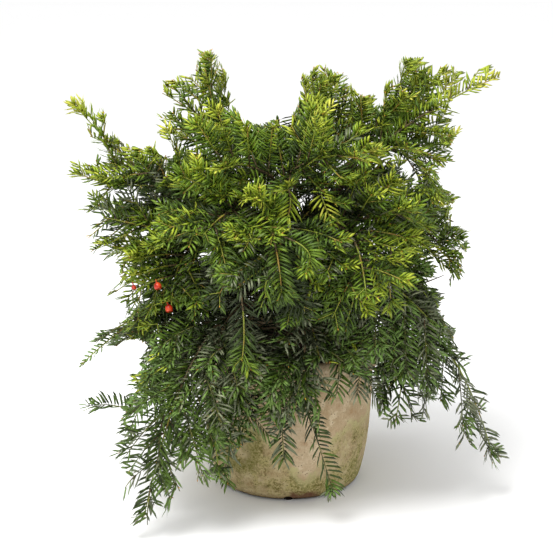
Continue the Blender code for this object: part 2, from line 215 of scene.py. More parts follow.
for _ in range(3):
    bmesh.ops.smooth_vert(shape, verts=corners, factor=0.5,
                          use_axis_x=True, use_axis_y=True, use_axis_z=True)
for vertex in corners:
    if vertex.co.z < 0.0004:
        vertex.co.z = 0.0
spun(shape, shape.verts[:] + shape.edges[:], POT_STEPS)
bmesh.ops.remove_doubles(shape, verts=shape.verts, dist=MERGED)
bmesh.ops.recalc_face_normals(shape, faces=shape.faces)
blank = as_object("pot_blank", shape)
bores = []
for bearing in DRAIN_BEARINGS:
    shape = bmesh.new()
    bmesh.ops.create_cone(shape, cap_ends=True, segments=28, radius1=DRAIN_RADIUS,
                          radius2=DRAIN_RADIUS * 1.1, depth=DRAIN_LENGTH)
    turn = Vector((0, 0, 1)).rotation_difference(round_axis(bearing, 1.0, 0.0)).to_matrix()
    turned_and_set(shape, shape.verts, turn, round_axis(bearing, POT_FOOT_RADIUS, 0.0))
    bore = as_object("bore", shape)
    bores.append(bore)
    cut = blank.modifiers.new("notch", "BOOLEAN")
    cut.operation = "DIFFERENCE"
    cut.solver = "EXACT"
    cut.object = bore
cut_mesh = bpy.data.meshes.new_from_object(blank.evaluated_get(bpy.context.evaluated_depsgraph_get()))
for spare in (blank, *bores):
    bpy.data.objects.remove(spare)
shape = bmesh.new()
shape.from_mesh(cut_mesh)
bmesh.ops.remove_doubles(shape, verts=shape.verts, dist=0.00005)
for vertex in shape.verts:
    x, y, z = vertex.co
    radius = math.hypot(x, y)
    if radius < 0.06 or z < 0.0006:
        continue
    # A slow sway, the wheel's rings and fine pits, and wear at the lip and the foot.
    sway = 0.0009 * noise.noise(Vector((x * 14.0, y * 14.0, z * 9.0)))
    wheel = 0.00022 * noise.noise(Vector((3.0, x * 3.0, z * 330.0)))
    pits = 0.00030 * noise.noise(Vector((x, y, z)) * 260.0)
    worn = max(0.0, noise.noise(Vector((x, y, z)) * 62.0 + Vector((5.0, 1.0, 2.0))) - 0.22)
    edge = max(0.0, 1.0 - abs(z - POT_HEIGHT) / 0.012) + max(0.0, 1.0 - z / 0.022)
    push = sway + wheel + pits - 0.0045 * worn * edge
    vertex.co.x += x / radius * push
    vertex.co.y += y / radius * push
    vertex.co.z -= 0.003 * worn * max(0.0, 1.0 - abs(z - POT_HEIGHT) / 0.006)
bmesh.ops.recalc_face_normals(shape, faces=shape.faces)

clay, add, coat = new_finish("weathered_clay", 0.93, 0.2)
place = add("TexCoord").outputs["Object"]
axes = add("SeparateXYZ", {0: place})
across_pot, depth, height = axes.outputs
broad = mottle(add, place, 14.0, 5.0, 0.6)
patchy = mottle(add, place, 26.0, 4.0, 0.6)
blotch = mottle(add, place, 60.0, 7.0, 0.7)
grain = mottle(add, place, 330.0, 5.0, 0.75)
specks = add("TexVoronoi", {"Vector": place, "Scale": 230.0, "Randomness": 1.0}).outputs["Distance"]
wall = mixed(add, stepped(add, broad, 0.36, 0.64), "AE9776", "C3AE90")
wall = mixed(add, times(add, stepped(add, blotch, 0.50, 0.66), 0.7), wall, "D8C8AA")
wall = mixed(add, times(add, stepped(add, blotch, 0.48, 0.34), 0.55), wall, "A07A55")
strip = times(add, sums(add, "SUBTRACT", across_pot, 0.024), 31.0)
strip = sums(add, "POWER", 2.718, times(add, times(add, strip, strip), -1.0))
tide = sums(add, "SUBTRACT", 0.116, times(add, strip, 0.078))
ragged = sums(add, "ADD", times(add, blotch, 0.055), times(add, broad, 0.050))
tide = sums(add, "ADD", tide, sums(add, "SUBTRACT", ragged, 0.0525))
below = sums(add, "SUBTRACT", tide, height)
damp = stepped(add, below, -0.002, 0.010)
bloom = times(add, damp, stepped(add, below, 0.026, 0.006))
algae = mixed(add, stepped(add, blotch, 0.38, 0.60), "645C2C", "9F9562")
algae = mixed(add, times(add, stepped(add, broad, 0.50, 0.64), 0.7), algae, "7B7A3C")
algae = mixed(add, stepped(add, grain, 0.48, 0.62), algae, "B7AA7A")
algae = mixed(add, stepped(add, grain, 0.46, 0.37), algae, "4F4722")
algae = mixed(add, times(add, bloom, 0.55), algae, "C4BD8C")
grown_over = sums(add, "MULTIPLY_ADD", stepped(add, patchy, 0.40, 0.56), 0.58, 0.42)
wall = mixed(add, times(add, damp, grown_over), wall, algae)
# The pot's left side, under the foliage, is painted darker olive below the tide line: moss, with painted
# shade from the foliage over it.
shaded_left = times(add, stepped(add, across_pot, -0.020, -0.052), stepped(add, height, 0.030, 0.050))
moss_and_shade = times(add, stepped(add, broad, 0.44, 0.60), times(add, shaded_left, damp))
wall = mixed(add, times(add, moss_and_shade, 0.6), wall, "5B5A26")
foot = times(add, stepped(add, height, 0.012, 0.003), stepped(add, blotch, 0.44, 0.54))
wall = mixed(add, times(add, foot, 0.75), wall, "5E3F28")
bare = times(add, stepped(add, across_pot, -0.004, 0.006), stepped(add, across_pot, 0.052, 0.030))
edge = sums(add, "ADD", height, times(add, sums(add, "SUBTRACT", 0.5, blotch), 0.050))
bare = times(add, bare, stepped(add, edge, 0.0165, 0.009))
wall = mixed(add, times(add, bare, stepped(add, depth, 0.0, -0.03)), wall, "624232")
# Inside the drain notches the clay is painted near-black, as painted shade in the recess.
around = sums(add, "ADD", sums(add, "POWER", across_pot, 2.0), sums(add, "POWER", depth, 2.0))
around = sums(add, "SQRT", around)
notch_shade = times(add, stepped(add, around, 0.1022, 0.0995), stepped(add, height, 0.0105, 0.0080))
wall = mixed(add, notch_shade, wall, "17110B")
pit = times(add, stepped(add, specks, 0.24, 0.14), stepped(add, blotch, 0.46, 0.58))
wall = mixed(add, times(add, pit, 0.8), wall, "4C3D22")
dust = times(add, stepped(add, grain, 0.40, 0.62), 0.30)
coat("Base Color", mixed(add, dust, wall, "8F7F58"))
rough_height = sums(add, "ADD", times(add, grain, 0.6), times(add, blotch, 0.8))
rough_height = sums(add, "SUBTRACT", rough_height, times(add, pit, 0.7))
relief = add("Bump", {"Height": rough_height, "Strength": 0.7, "Distance": 0.0014})
coat("Normal", relief.outputs[0])
pot = shown("clay_pot", shape, clay)
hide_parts("pot")


# The drain notches: each is choked by dark compost and old roots, a few millimetres in from the
# pot's face, and painted near-black for the shade deep in the notch. Each plug is a lumpy half
# round that stays inside its notch.
PLUG_DEPTH = 0.020
PLUG_INSET = 0.0145


def two_tone(name, roughness, specular, scale, detail, low, high, first, second):
    """A finish of two colours that drift into each other through a noise."""
    finish, add, coat = new_finish(name, roughness, specular)
    drift = mottle(add, add("TexCoord").outputs["Object"], scale, detail)
    coat("Base Color", mixed(add, stepped(add, drift, low, high), first, second))
    return finish


shape = bmesh.new()
for number, bearing in enumerate(DRAIN_BEARINGS):
    outward = round_axis(bearing, 1.0, 0.0)
    plug = bmesh.ops.create_uvsphere(shape, u_segments=20, v_segments=12, radius=1.0)["verts"]
    bmesh.ops.scale(shape, verts=plug, vec=(PLUG_DEPTH * 0.5, DRAIN_RADIUS * 1.04, DRAIN_RADIUS * 1.06))
    for vertex in plug:
        vertex.co.x += 0.0016 * noise.noise(vertex.co * 420.0 + Vector((number * 5.0, 0.0, 0.0)))
        vertex.co.z = max(vertex.co.z, 0.0002)
    turn = Vector((1, 0, 0)).rotation_difference(outward).to_matrix()
    turned_and_set(shape, plug, turn, outward * (POT_FOOT_RADIUS - PLUG_INSET))
bmesh.ops.recalc_face_normals(shape, faces=shape.faces)
# Compost painted near-black, as painted shade deep in the notch.
shaded_compost = two_tone("choked_drain", 0.97, 0.1, 500.0, 4.0, 0.4, 0.7, "0E0A07", "2A1D13")
drains = shown("drain_plugs", shape, shaded_compost)


# The compost: dark, moist and crumbly, filled to just under the pot's lip and heaped a little
# round the stem. Its top is one roughened disc, with loose crumbs pressed into it.
SOIL_TOP = 0.188
SOIL_RINGS = 26
SOIL_RING_WIDTH = 0.0038
SOIL_DEPTH = 0.030
HEAP_HEIGHT = 0.004
HEAP_REACH = 0.035
CRUMBS = 260
CRUMB_REACH = 0.104


def heaped(reach):
    """How far the compost is heaped up at a distance from the stem."""
    return HEAP_HEIGHT * math.exp(-(reach / HEAP_REACH) ** 2)


shape = bmesh.new()
bmesh.ops.create_circle(shape, cap_ends=True, segments=96, radius=inner_radius(0.150) - 0.0005)
for _ in range(SOIL_RINGS):
    middle = [face for face in shape.faces if len(face.verts) > 8]
    bmesh.ops.inset_region(shape, faces=middle, thickness=SOIL_RING_WIDTH, use_even_offset=True)
middle = [face for face in shape.faces if len(face.verts) > 8]
bmesh.ops.poke(shape, faces=middle)
for vertex in shape.verts:
    spot = vertex.co.copy()
    lump = noise.noise(spot * 38.0) * 0.0030 + noise.noise(spot * 140.0) * 0.0022
    lump += noise.noise(spot * 420.0) * 0.0009
    vertex.co.z = SOIL_TOP - 0.0035 + lump + heaped(spot.length)
skirt = [edge for edge in shape.edges if edge.is_boundary]
dropped = bmesh.ops.extrude_edge_only(shape, edges=skirt)["geom"]
for vertex in [item for item in dropped if isinstance(item, bmesh.types.BMVert)]:
    vertex.co = Vector((vertex.co.x * 0.985, vertex.co.y * 0.985, SOIL_TOP - SOIL_DEPTH))
bmesh.ops.contextual_create(shape, geom=[edge for edge in shape.edges if edge.is_boundary])
chance = random.Random(41)
for _ in range(CRUMBS):
    reach = CRUMB_REACH * math.sqrt(chance.random())
    angle = chance.uniform(0.0, 2.0 * math.pi)
    size = chance.uniform(0.0008, 0.0026)
    crumb = bmesh.ops.create_icosphere(shape, subdivisions=1, radius=size)["verts"]
    for vertex in crumb:
        vertex.co *= 1.0 + 0.35 * noise.noise(vertex.co * 900.0 + Vector((reach, angle, size)) * 50.0)
    spot = Vector((reach * math.cos(angle), reach * math.sin(angle), 0.0))
    spot.z = SOIL_TOP - 0.0030 + heaped(reach) + noise.noise(spot * 38.0) * 0.0030
    bmesh.ops.translate(shape, verts=crumb, vec=spot)
bmesh.ops.recalc_face_normals(shape, faces=shape.faces)

compost, add, coat = new_finish("compost", 0.95, 0.2)
place = add("TexCoord").outputs["Object"]
clods = mottle(add, place, 210.0, 6.0, 0.7)
fibre = add("TexVoronoi", {"Vector": place, "Scale": 330.0}).outputs["Distance"]
dark = mixed(add, stepped(add, clods, 0.35, 0.70), "20170F", "4A3827")
dark = mixed(add, stepped(add, fibre, 0.22, 0.10), dark, "6B563C")
coat("Base Color", dark)
relief = add("Bump", {"Height": clods, "Strength": 0.8, "Distance": 0.002})
coat("Normal", relief.outputs[0])
soil = shown("compost", shape, compost)
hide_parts("soil")


# The trunk and boughs: a short leaning trunk with a flared foot, and tapering limbs that leave it
# at all heights and arch over the pot, all under thin, red-brown, scaly bark. Each limb is a tube
# bent along its curve and roughened by ridges, with its root inside the limb that carries it.
GAP = 0.0003
UP = Vector((0.0, 0.0, 1.0))
TRUNK_FOOT = Vector((0.004, 0.002, SOIL_TOP + GAP))
TRUNK_TURN = Vector((-0.006, 0.004, 0.300))
TRUNK_TIP = Vector((0.008, 0.010, 0.405))
TRUNK_RADIUS = 0.0150
TRUNK_TIP_RADIUS = 0.0055
TRUNK_FLARE = 0.010
TRUNK_RIDGE = 0.11
BOUGH_RADIUS = 0.0050
BOUGH_TIP_RADIUS = 0.0034
FORK_TIP_RADIUS = 0.0046
BOUGH_FLARE = 0.0022
BOUGH_RIDGE = 0.10
FLARE_FADE = 9.0
STUMP_RADIUS = 0.0048
STUMP_RIDGE = 0.12
STEM_RADIUS = 0.0021

Bough = namedtuple("Bough", "name base bearing reach height lift masses")
Mass = namedtuple("Mass", "name bearing reach height spread twigs sag seed")
Path = namedtuple("Path", "start turn end side")
BOUGHS = (
    Bough("left_high", 0.340, -172, 0.110, 0.400, 0.010, (
        Mass("left_spire", -176, 0.292, 0.545, 0.065, 4, -0.10, 6),
        Mass("left_upper", -160, 0.215, 0.480, 0.095, 4, 0.00, 4))),
    Bough("top_left", 0.372, 178, 0.055, 0.445, 0.000, (
        Mass("top_left", 180, 0.112, 0.602, 0.100, 5, -0.12, 12),)),
    Bough("top_front", 0.356, -100, 0.045, 0.425, 0.000, (
        Mass("top_front_left", -138, 0.155, 0.480, 0.100, 5, -0.05, 12),
        Mass("top_front_right", -50, 0.165, 0.495, 0.100, 5, -0.05, 10))),
    Bough("top_right", 0.362, 12, 0.075, 0.440, 0.000, (
        Mass("top_right", 2, 0.165, 0.585, 0.100, 5, -0.12, 12),)),
    Bough("right_high", 0.334, -8, 0.110, 0.465, 0.010, (
        Mass("right_arm", -4, 0.276, 0.575, 0.075, 4, 0.06, 11),
        Mass("right_hang", -14, 0.240, 0.455, 0.090, 4, 0.20, 9))),
    Bough("front_left", 0.322, -122, 0.090, 0.405, 0.020, (
        Mass("front_left", -119, 0.226, 0.400, 0.100, 5, 0.15, 1),)),
    Bough("front_middle", 0.292, -93, 0.095, 0.385, 0.020, (
        Mass("front_middle", -95, 0.240, 0.330, 0.100, 5, 0.20, 0),)),
    Bough("front_right", 0.308, -54, 0.095, 0.385, 0.020, (
        Mass("front_right", -66, 0.238, 0.326, 0.095, 5, 0.20, 3),
        Mass("right_front", -36, 0.205, 0.415, 0.095, 4, 0.10, 13))),
    Bough("right_middle", 0.286, -12, 0.105, 0.355, 0.015, (
        Mass("right_middle", -13, 0.252, 0.362, 0.100, 5, 0.10, 11),)),
    Bough("right_low", 0.262, -44, 0.105, 0.325, 0.015, (
        Mass("right_low", -33, 0.243, 0.250, 0.095, 5, 0.20, 8),)),
    Bough("left_middle", 0.288, -160, 0.105, 0.352, 0.015, (
        Mass("left_tip", -171, 0.280, 0.395, 0.090, 4, 0.05, 0),
        Mass("left_hang", -158, 0.235, 0.285, 0.085, 4, 0.20, 9),
        Mass("left_front", -137, 0.210, 0.295, 0.085, 4, 0.20, 8))),
    Bough("low_left", 0.246, -156, 0.115, 0.288, 0.022, (
        Mass("low_left_reach", -165, 0.294, 0.190, 0.030, 1, 0.10, 0),
        Mass("low_left_arch", -153, 0.285, 0.135, 0.085, 4, 0.20, 7),
        Mass("low_left_hang", -143, 0.222, 0.095, 0.075, 4, 0.20, 3))),
    Bough("low_front_left", 0.232, -122, 0.120, 0.280, 0.025, (
        Mass("weep_left", -131, 0.288, 0.030, 0.090, 5, 0.15, 11),
        Mass("weep_front_left", -114, 0.222, 0.075, 0.080, 4, 0.15, 9))),
    Bough("low_front", 0.240, -80, 0.115, 0.280, 0.022, (
        Mass("weep_front_middle", -93, 0.178, 0.085, 0.070, 4, 0.15, 0),
        Mass("weep_front_right", -66, 0.168, 0.045, 0.070, 4, 0.15, 0))),
    Bough("low_right", 0.234, -28, 0.120, 0.285, 0.025, (
        Mass("weep_right_front", -46, 0.205, 0.135, 0.075, 4, 0.20, 2),
        Mass("weep_right", -17, 0.295, 0.065, 0.075, 4, 0.15, 5))),
    Bough("top_back", 0.350, 92, 0.060, 0.425, 0.005, (
        Mass("top_back_left", 140, 0.185, 0.485, 0.100, 5, -0.05, 13),
        Mass("top_back_right", 52, 0.190, 0.505, 0.100, 4, -0.05, 0))),
    Bough("back_left", 0.290, 140, 0.105, 0.350, 0.015, (
        Mass("back_left", 160, 0.268, 0.360, 0.100, 4, 0.05, 6),
        Mass("back_middle_left", 115, 0.245, 0.372, 0.095, 4, 0.10, 0))),
    Bough("back_right", 0.300, 48, 0.105, 0.355, 0.015, (
        Mass("back_right", 26, 0.266, 0.350, 0.100, 4, 0.10, 13),
        Mass("back_middle_right", 72, 0.245, 0.362, 0.095, 4, 0.10, 4))),
    Bough("low_back_left", 0.236, 132, 0.120, 0.284, 0.025, (
        Mass("weep_back_left", 152, 0.276, 0.095, 0.090, 4, 0.15, 12),
        Mass("weep_back", 104, 0.256, 0.065, 0.090, 4, 0.15, 1))),
    Bough("low_back_right", 0.230, 46, 0.120, 0.282, 0.025, (
        Mass("weep_back_right", 44, 0.268, 0.080, 0.090, 4, 0.15, 0),)),
)
LEADER_MASS = Mass("centre_spire", 15, 0.060, 0.570, 0.095, 5, -0.12, 11)


def across(bearing):
    """The level direction at a right angle to a bearing."""
    angle = math.radians(bearing)
    return Vector((-math.sin(angle), math.cos(angle), 0.0))


def point(path, share):
    """The point of a path at a share of its length."""
    before = path.start.lerp(path.turn, share)
    return before.lerp(path.turn.lerp(path.end, share), share)


def directions(path, share):
    """The direction along a path, the one across it, and the one that its upper side faces."""
    along = ((path.turn - path.start).lerp(path.end - path.turn, share)).normalized()
    upper = along.cross(path.side).normalized()
    return along, upper.cross(along), upper


def limb(shape, path, sides, rings, radius_at, ridge):
    """A ringed tube bent along a path, with ridges of bark."""
    tube = bmesh.ops.create_cone(shape, cap_ends=True, segments=sides,
                                 radius1=1.0, radius2=1.0, depth=1.0)["verts"]
    bmesh.ops.translate(shape, verts=tube, vec=(0.0, 0.0, 0.5))
    for ring in range(1, rings):
        part = list({face for vertex in tube for face in vertex.link_faces})
        edges = list({edge for vertex in tube for edge in vertex.link_edges})
        cut = bmesh.ops.bisect_plane(shape, geom=tube + edges + part,
                                     plane_co=(0, 0, ring / rings), plane_no=(0, 0, 1))
        tube += [item for item in cut["geom_cut"] if isinstance(item, bmesh.types.BMVert)]
    for vertex in tube:
        share = vertex.co.z
        along, side, upper = directions(path, share)
        radius = radius_at(share)
        turn = math.atan2(vertex.co.y, vertex.co.x)
        place = point(path, share)
        grain = Vector((math.cos(turn) * 2.2, math.sin(turn) * 2.2, place.z * 22.0 + share * 3.0))
        scale = noise.noise(grain) + 0.6 * noise.noise(grain * 2.7 + Vector((7.0, 3.0, 1.0)))
        radius *= 1.0 + ridge * scale
        vertex.co = place + side * (math.cos(turn) * radius) + upper * (math.sin(turn) * radius)


trunk_path = Path(TRUNK_FOOT - UP * 0.006, TRUNK_TURN, TRUNK_TIP, across(0.0))


def trunk_spot(height):
    """The point on the trunk's axis at a height."""
    source = trunk_path._replace(start=TRUNK_FOOT)
    low, high = 0.0, 1.0
    for _ in range(24):
        middle = (low + high) / 2.0
        if point(source, middle).z < height:
            low = middle
        else:
            high = middle
    return point(source, low)


def bough_path(bough):
    """A bough's path, from the trunk's axis to its end."""
    start = trunk_spot(bough.base)
    end = round_axis(bough.bearing, bough.reach, bough.height)
    turn = start.lerp(end, 0.5) + UP * bough.lift
    return Path(start, turn, end, across(bough.bearing))


def taper(thick, thin, flare):
    """A limb's radius at each share of its length, with a flare at its root."""
    return lambda share: thick + (thin - thick) * share + flare * math.exp(-share * FLARE_FADE)


shape = bmesh.new()
limb(shape, trunk_path, 20, 44, taper(TRUNK_RADIUS, TRUNK_TIP_RADIUS, TRUNK_FLARE), TRUNK_RIDGE)
for bough in BOUGHS:
    tip = FORK_TIP_RADIUS if len(bough.masses) > 1 else BOUGH_TIP_RADIUS
    limb(shape, bough_path(bough), 11, 20, taper(BOUGH_RADIUS, tip * 0.86, BOUGH_FLARE), BOUGH_RIDGE)
stump_foot = bough_path(BOUGHS[3]).end
stump = Path(stump_foot, Vector((0.074, -0.006, 0.448)), Vector((0.084, -0.032, 0.4575)), across(-80))
limb(shape, stump, 11, 8, lambda share: STUMP_RADIUS + 0.0010 * share, STUMP_RIDGE)
bmesh.ops.recalc_face_normals(shape, faces=shape.faces)

bark, add, coat = new_finish("scaly_bark", 0.88, 0.3)
place = add("TexCoord").outputs["Object"]
stretched = add("Mapping", {"Vector": place, "Scale": (1.0, 1.0, 0.35)}).outputs[0]
scales = mottle(add, stretched, 240.0, 7.0, 0.7)
patches = mottle(add, place, 60.0, 3.0)
rind = mixed(add, stepped(add, scales, 0.38, 0.62), "2C1D15", "66473A")
rind = mixed(add, stepped(add, patches, 0.55, 0.72), rind, "75675A")
coat("Base Color", rind)
relief = add("Bump", {"Height": scales, "Strength": 0.7, "Distance": 0.0010})
coat("Normal", relief.outputs[0])
wood = shown("trunk_and_boughs", shape, bark)
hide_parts("trunk", *("bough_" + bough.name for bough in BOUGHS))


# The stems and twigs: from each bough's end a stem goes on to the tip of its mass, with side twigs
# and flat fans of shoots, brown where old and yellow-green where new. The solids carry every third
# twig of this rule and here all of them grow, with more on the boughs and the trunk inside.
STEM_SHARE = 0.74
STEM_RINGS = 4
TIP_LEAN = math.radians(42.0)
SIDE_TWIG_ANGLE = math.radians(50.0)
FLAT_TURN = 180.0
SPIRAL_TURN = 144.0
GOLDEN_TURN = math.radians(137.5)
SHOOT_ANGLE = math.radians(46.0)
SHOOT_GAP = 0.017
SHORTEST_SHOOT = 0.016
INNER_GAP = 0.011
TRUNK_TWIGS = 36
BOX_ROOM = 0.002
KEPT_STEPS = 16
LEAST_KEPT = 0.35
FAN_UNREST = 19.0
LONG_TIP_UNREST = 7.0
SLENDER_VIGOUR = 0.46
TALL_LOSS = 0.09
PLUME_VIGOUR = 1.06
PLUME_FULLNESS = 0.30
SPRAY_FULLNESS = 0.50
FIRST_TWIG = 0.12
TWIG_RANGE = 0.76
POT_ROOM = 0.004
WEEPING_HEIGHT = 0.27
PLUME_DROOP = 0.42
SLENDER_SPREAD = 0.05
EYE = Vector((-0.0161, -2.0284, 0.8387))

Shoot = namedtuple("Shoot", "path radial vigour mass order shade")
Opening = namedtuple("Opening", "x z half_width half_height")
box_low, box_high = (Vector(corner) for corner in cad_box)


def openings(rows):
    """Ovals, each from its middle's x and z and its half width and half height in millimetres."""
    return tuple(Opening(*(size / 1000.0 for size in row)) for row in rows)


# Where the sky shows between the tips, and where the pot's front is bare, as seen from the
# front and measured on the middle plane. The last ones are free of foliage in front only.
OPENINGS = openings((
    (-145, 603, 24, 30), (-188, 560, 18, 40), (-150, 628, 28, 26), (-83, 628, 26, 26), (-116, 635, 20, 28),
    (-40, 566, 44, 60), (-52, 612, 24, 40), (-79, 600, 14, 18), (-144, 600, 18, 18), (-6, 562, 24, 46),
    (34, 624, 34, 36), (107, 580, 28, 32), (190, 624, 100, 24), (246, 606, 46, 20), (262, 536, 46, 17),
    (262, 476, 40, 36), (251, 436, 46, 28), (260, 388, 36, 28), (276, 350, 26, 22), (278, 312, 36, 34),
    (324, 572, 22, 34), (300, 280, 36, 40), (246, 252, 34, 20), (264, 206, 30, 26), (290, 156, 34, 36),
    (316, 90, 30, 36), (200, 60, 44, 21), (-291, 495, 19, 34), (-214, 527, 37, 44), (-302, 414, 18, 13),
    (-300, 368, 24, 24), (-262, 86, 24, 14), (-142, -8, 10, 32), (-206, 502, 27, 26), (-216, 538, 30, 30),
    (-304, 335, 28, 36), (-294, 285, 46, 40), (-268, 233, 34, 16), (-246, 162, 40, 15), (-298, 136, 30, 18),
    (-262, -18, 36, 36), (-136, -62, 36, 48), (-171, 479, 13, 13), (-146, -12, 13, 13), (-221, 188, 22, 14),
    (-252, 183, 14, 11), (-246, 239, 18, 12), (213, 94, 14, 15), (-199, 259, 7, 10), (-246, 303, 12, 12),
    (20, 593, 15, 13), (234, 233, 14, 14), (204, 599, 15, 11), (72, 595, 22, 15), (-273, 467, 13, 10),
    (-249, 287, 13, 13), (255, 34, 13, 13), (-164, 582, 13, 13), (-3, 517, 9, 11), (-158, -44, 11, 12),
    (206, 283, 10, 10), (-272, 378, 11, 11), (-190, -61, 11, 11), (306, 580, 18, 30), (-200, -92, 34, 16),
))
BARE_FRONTS = openings((
    (98, 94, 34, 58), (-26, -20, 50, 30), (64, 78, 18, 36), (98, 2, 28, 44), (12, 39, 15, 36),
    (-44, 4, 38, 47), (-30, 65, 13, 24), (63, 157, 18, 12), (28, -19, 24, 24),
))


def seen(x, y, z):
    """Where a place, or each of many, is seen from the front on the middle plane."""
    reach = EYE.y / (EYE.y - y)
    return EYE.x + (x - EYE.x) * reach, EYE.z + (z - EYE.z) * reach


def within(gap, across_view, up_view, edge=1.0):
    """Whether a place, or each of many, lies in an oval of the front view."""
    return ((across_view - gap.x) / gap.half_width) ** 2 + ((up_view - gap.z) / gap.half_height) ** 2 < edge


def in_opening(x, y, z, edge=1.0, fronts=BARE_FRONTS):
    """Whether a place, or each of many, is seen from the front in one of the openings."""
    across_view, up_view = seen(x, y, z)
    inside = within(OPENINGS[0], across_view, up_view, edge)
    for gap in OPENINGS[1:]:
        inside = inside | within(gap, across_view, up_view, edge)
    for gap in fronts:
        inside = inside | (within(gap, across_view, up_view, edge) & (y < 0.0))
    return inside


def mass_path(mass, root, along):
    """A stem that goes on in its limb's direction and then bends over to the mass's tip."""
    start = root + along * GAP
    end = round_axis(mass.bearing, mass.reach, mass.height)
    turn = start + along * (0.45 * (end - start).length)
    along, side, upper = directions(Path(start, turn, end, across(mass.bearing)), 1.0)
    leans = [side * math.cos(lean) + upper * math.sin(lean) for lean in (-TIP_LEAN, TIP_LEAN)]
    return Path(start, turn, end, max(leans, key=lambda lean: abs(lean.x)))


def stems_of(bough):
    """The paths of a bough's masses, whose roots stand side by side against its end."""
    path = bough_path(bough)
    along, side, upper = directions(path, 1.0)
    count = len(bough.masses)
    tips = [round_axis(mass.bearing, mass.reach, mass.height) for mass in bough.masses]
    middle = sum(tips, Vector()) / count
    angles = [math.atan2((tip - middle).dot(upper), (tip - middle).dot(side)) for tip in tips]
    order = sorted(range(count), key=lambda number: angles[number])
    spacing = 0.0 if count == 1 else (STEM_RADIUS + GAP) / math.sin(math.pi / count)
    for slot, number in enumerate(order):
        angle = angles[order[0]] + 2.0 * math.pi * slot / count
        aside = (side * math.cos(angle) + upper * math.sin(angle)) * spacing
        yield bough.masses[number], mass_path(bough.masses[number], path.end + aside, along)


def on_stem(stem, share):
    """The point on the axis of the stem's straight lengths, as in the solids."""
    step = STEM_SHARE / STEM_RINGS
    ring = int(share / step)
    return point(stem, ring * step).lerp(point(stem, (ring + 1) * step), share / step - ring)


def station_share(station, stations):
    """How far along its stem a side twig stands."""
    return FIRST_TWIG + TWIG_RANGE * station / (stations - 1)


def twig_path(mass, stem, station, stations):
    """The side twig at one station: its place, angle, roll and length, from the mass's seed."""
    chance = random.Random(f"{mass.name} {mass.seed} {station}")
    share = station_share(station, stations)
    along, side, upper = directions(stem, share)
    turn = SPIRAL_TURN if mass.sag < 0.0 else FLAT_TURN
    angle = SIDE_TWIG_ANGLE + math.radians(chance.uniform(-9.0, 9.0))
    roll = math.radians(turn * station + chance.uniform(-40.0, 40.0))
    tilt = math.radians(chance.uniform(-55.0, 55.0))
    reach = mass.spread * (1.15 - 0.65 * share) * chance.uniform(0.88, 1.12)
    outward = side * math.cos(roll) + upper * math.sin(roll)
    lead = along * math.cos(angle) + outward * math.sin(angle)
    start = on_stem(stem, share)
    end = start + lead * reach - UP * (mass.sag * reach)
    flat = (upper - lead * upper.dot(lead)).normalized()
    edge = flat.cross(lead)
    return Path(start, start + lead * (reach * 0.5), end, edge * math.cos(tilt) + flat * math.sin(tilt))


def span(path):
    """The rough length of a path."""
    return (path.turn - path.start).length * 0.5 + (path.end - path.start).length * 0.5


def turned_to_light(path, chance, loose=FAN_UNREST):
    """The path with its fan of shoots and needles laid open to the light, up and outwards."""
    along = (path.end - path.start).normalized()
    light = UP * 0.75 + Vector((path.end.x, path.end.y, 0.0)).normalized() * 0.65
    upper = (light - along * light.dot(along)).normalized()
    side = upper.cross(along)
    roll = math.radians(chance.gauss(0.0, loose))
    return path._replace(side=side * math.cos(roll) + upper * math.sin(roll))


def kept_share(path):
    """How much of a path stays inside the plant's box and out of the openings."""
    for step in range(1, KEPT_STEPS + 1):
        spot = point(path, step / KEPT_STEPS)
        inside = all(box_low[axis] + BOX_ROOM < spot[axis] < box_high[axis] - BOX_ROOM
                     for axis in range(3))
        if not inside or in_opening(*spot):
            return (step - 1) / KEPT_STEPS
    return 1.0


def kept_inside(path):
    """The path cut where it would leave the plant's box, or None where little is left."""
    kept = kept_share(path)
    if kept < LEAST_KEPT:
        return None
    return path._replace(turn=path.start.lerp(path.turn, kept), end=point(path, kept))


def in_pot(spot):
    """Whether a place lies in the pot or so near it that needles there would touch it."""
    return spot.z < POT_HEIGHT + POT_ROOM and math.hypot(spot.x, spot.y) < POT_RIM_RADIUS + POT_ROOM


def branch(path, share, hand, angle, roll, reach, sag):
    """A shoot that leaves a path at an angle, on its left or right."""
    along, side, upper = directions(path, share)
    aside = side * (hand * math.cos(roll)) + upper * math.sin(roll)
    lead = along * math.cos(angle) + aside * math.sin(angle)
    start = point(path, share)
    end = start + lead * reach - UP * (sag * reach)
    return Path(start, start + lead * (reach * 0.5), end, side)


def weeps(mass):
    """Whether a mass is one of the low ones, whose shoots hang."""
    return mass.height < WEEPING_HEIGHT


def vigour_of(mass):
    """How long a mass's needles are: full low down, shorter on tall tips and on a thin shoot."""
    if mass.spread < SLENDER_SPREAD:
        return SLENDER_VIGOUR
    return 1.0 - TALL_LOSS * min(max((mass.height - 0.40) / 0.15, 0.0), 1.0)


def spray(shoots, path, vigour, mass, order, shade, chance):
    """Adds a shoot laid open to the light, where enough of it stays inside the plant's box."""
    path = kept_inside(turned_to_light(path, chance))
    if path is not None:
        shoots.append(Shoot(path, False, vigour, mass, order, shade))


def rosette(shoots, path, mass, count, chance):
    """The short sprays that crowd round a shoot's tip. A slender shoot has none."""
    heap = [] if mass.spread < SLENDER_SPREAD else shoots
    for number in range(count):
        reach = chance.uniform(0.012, 0.020)
        angle = math.radians(chance.uniform(34.0, 56.0))
        share = chance.uniform(0.93, 0.99)
        short = branch(path, share, 1.0, angle, GOLDEN_TURN * number, reach, 0.0)
        spray(heap, short, vigour_of(mass), mass, 3, 0.0, chance)


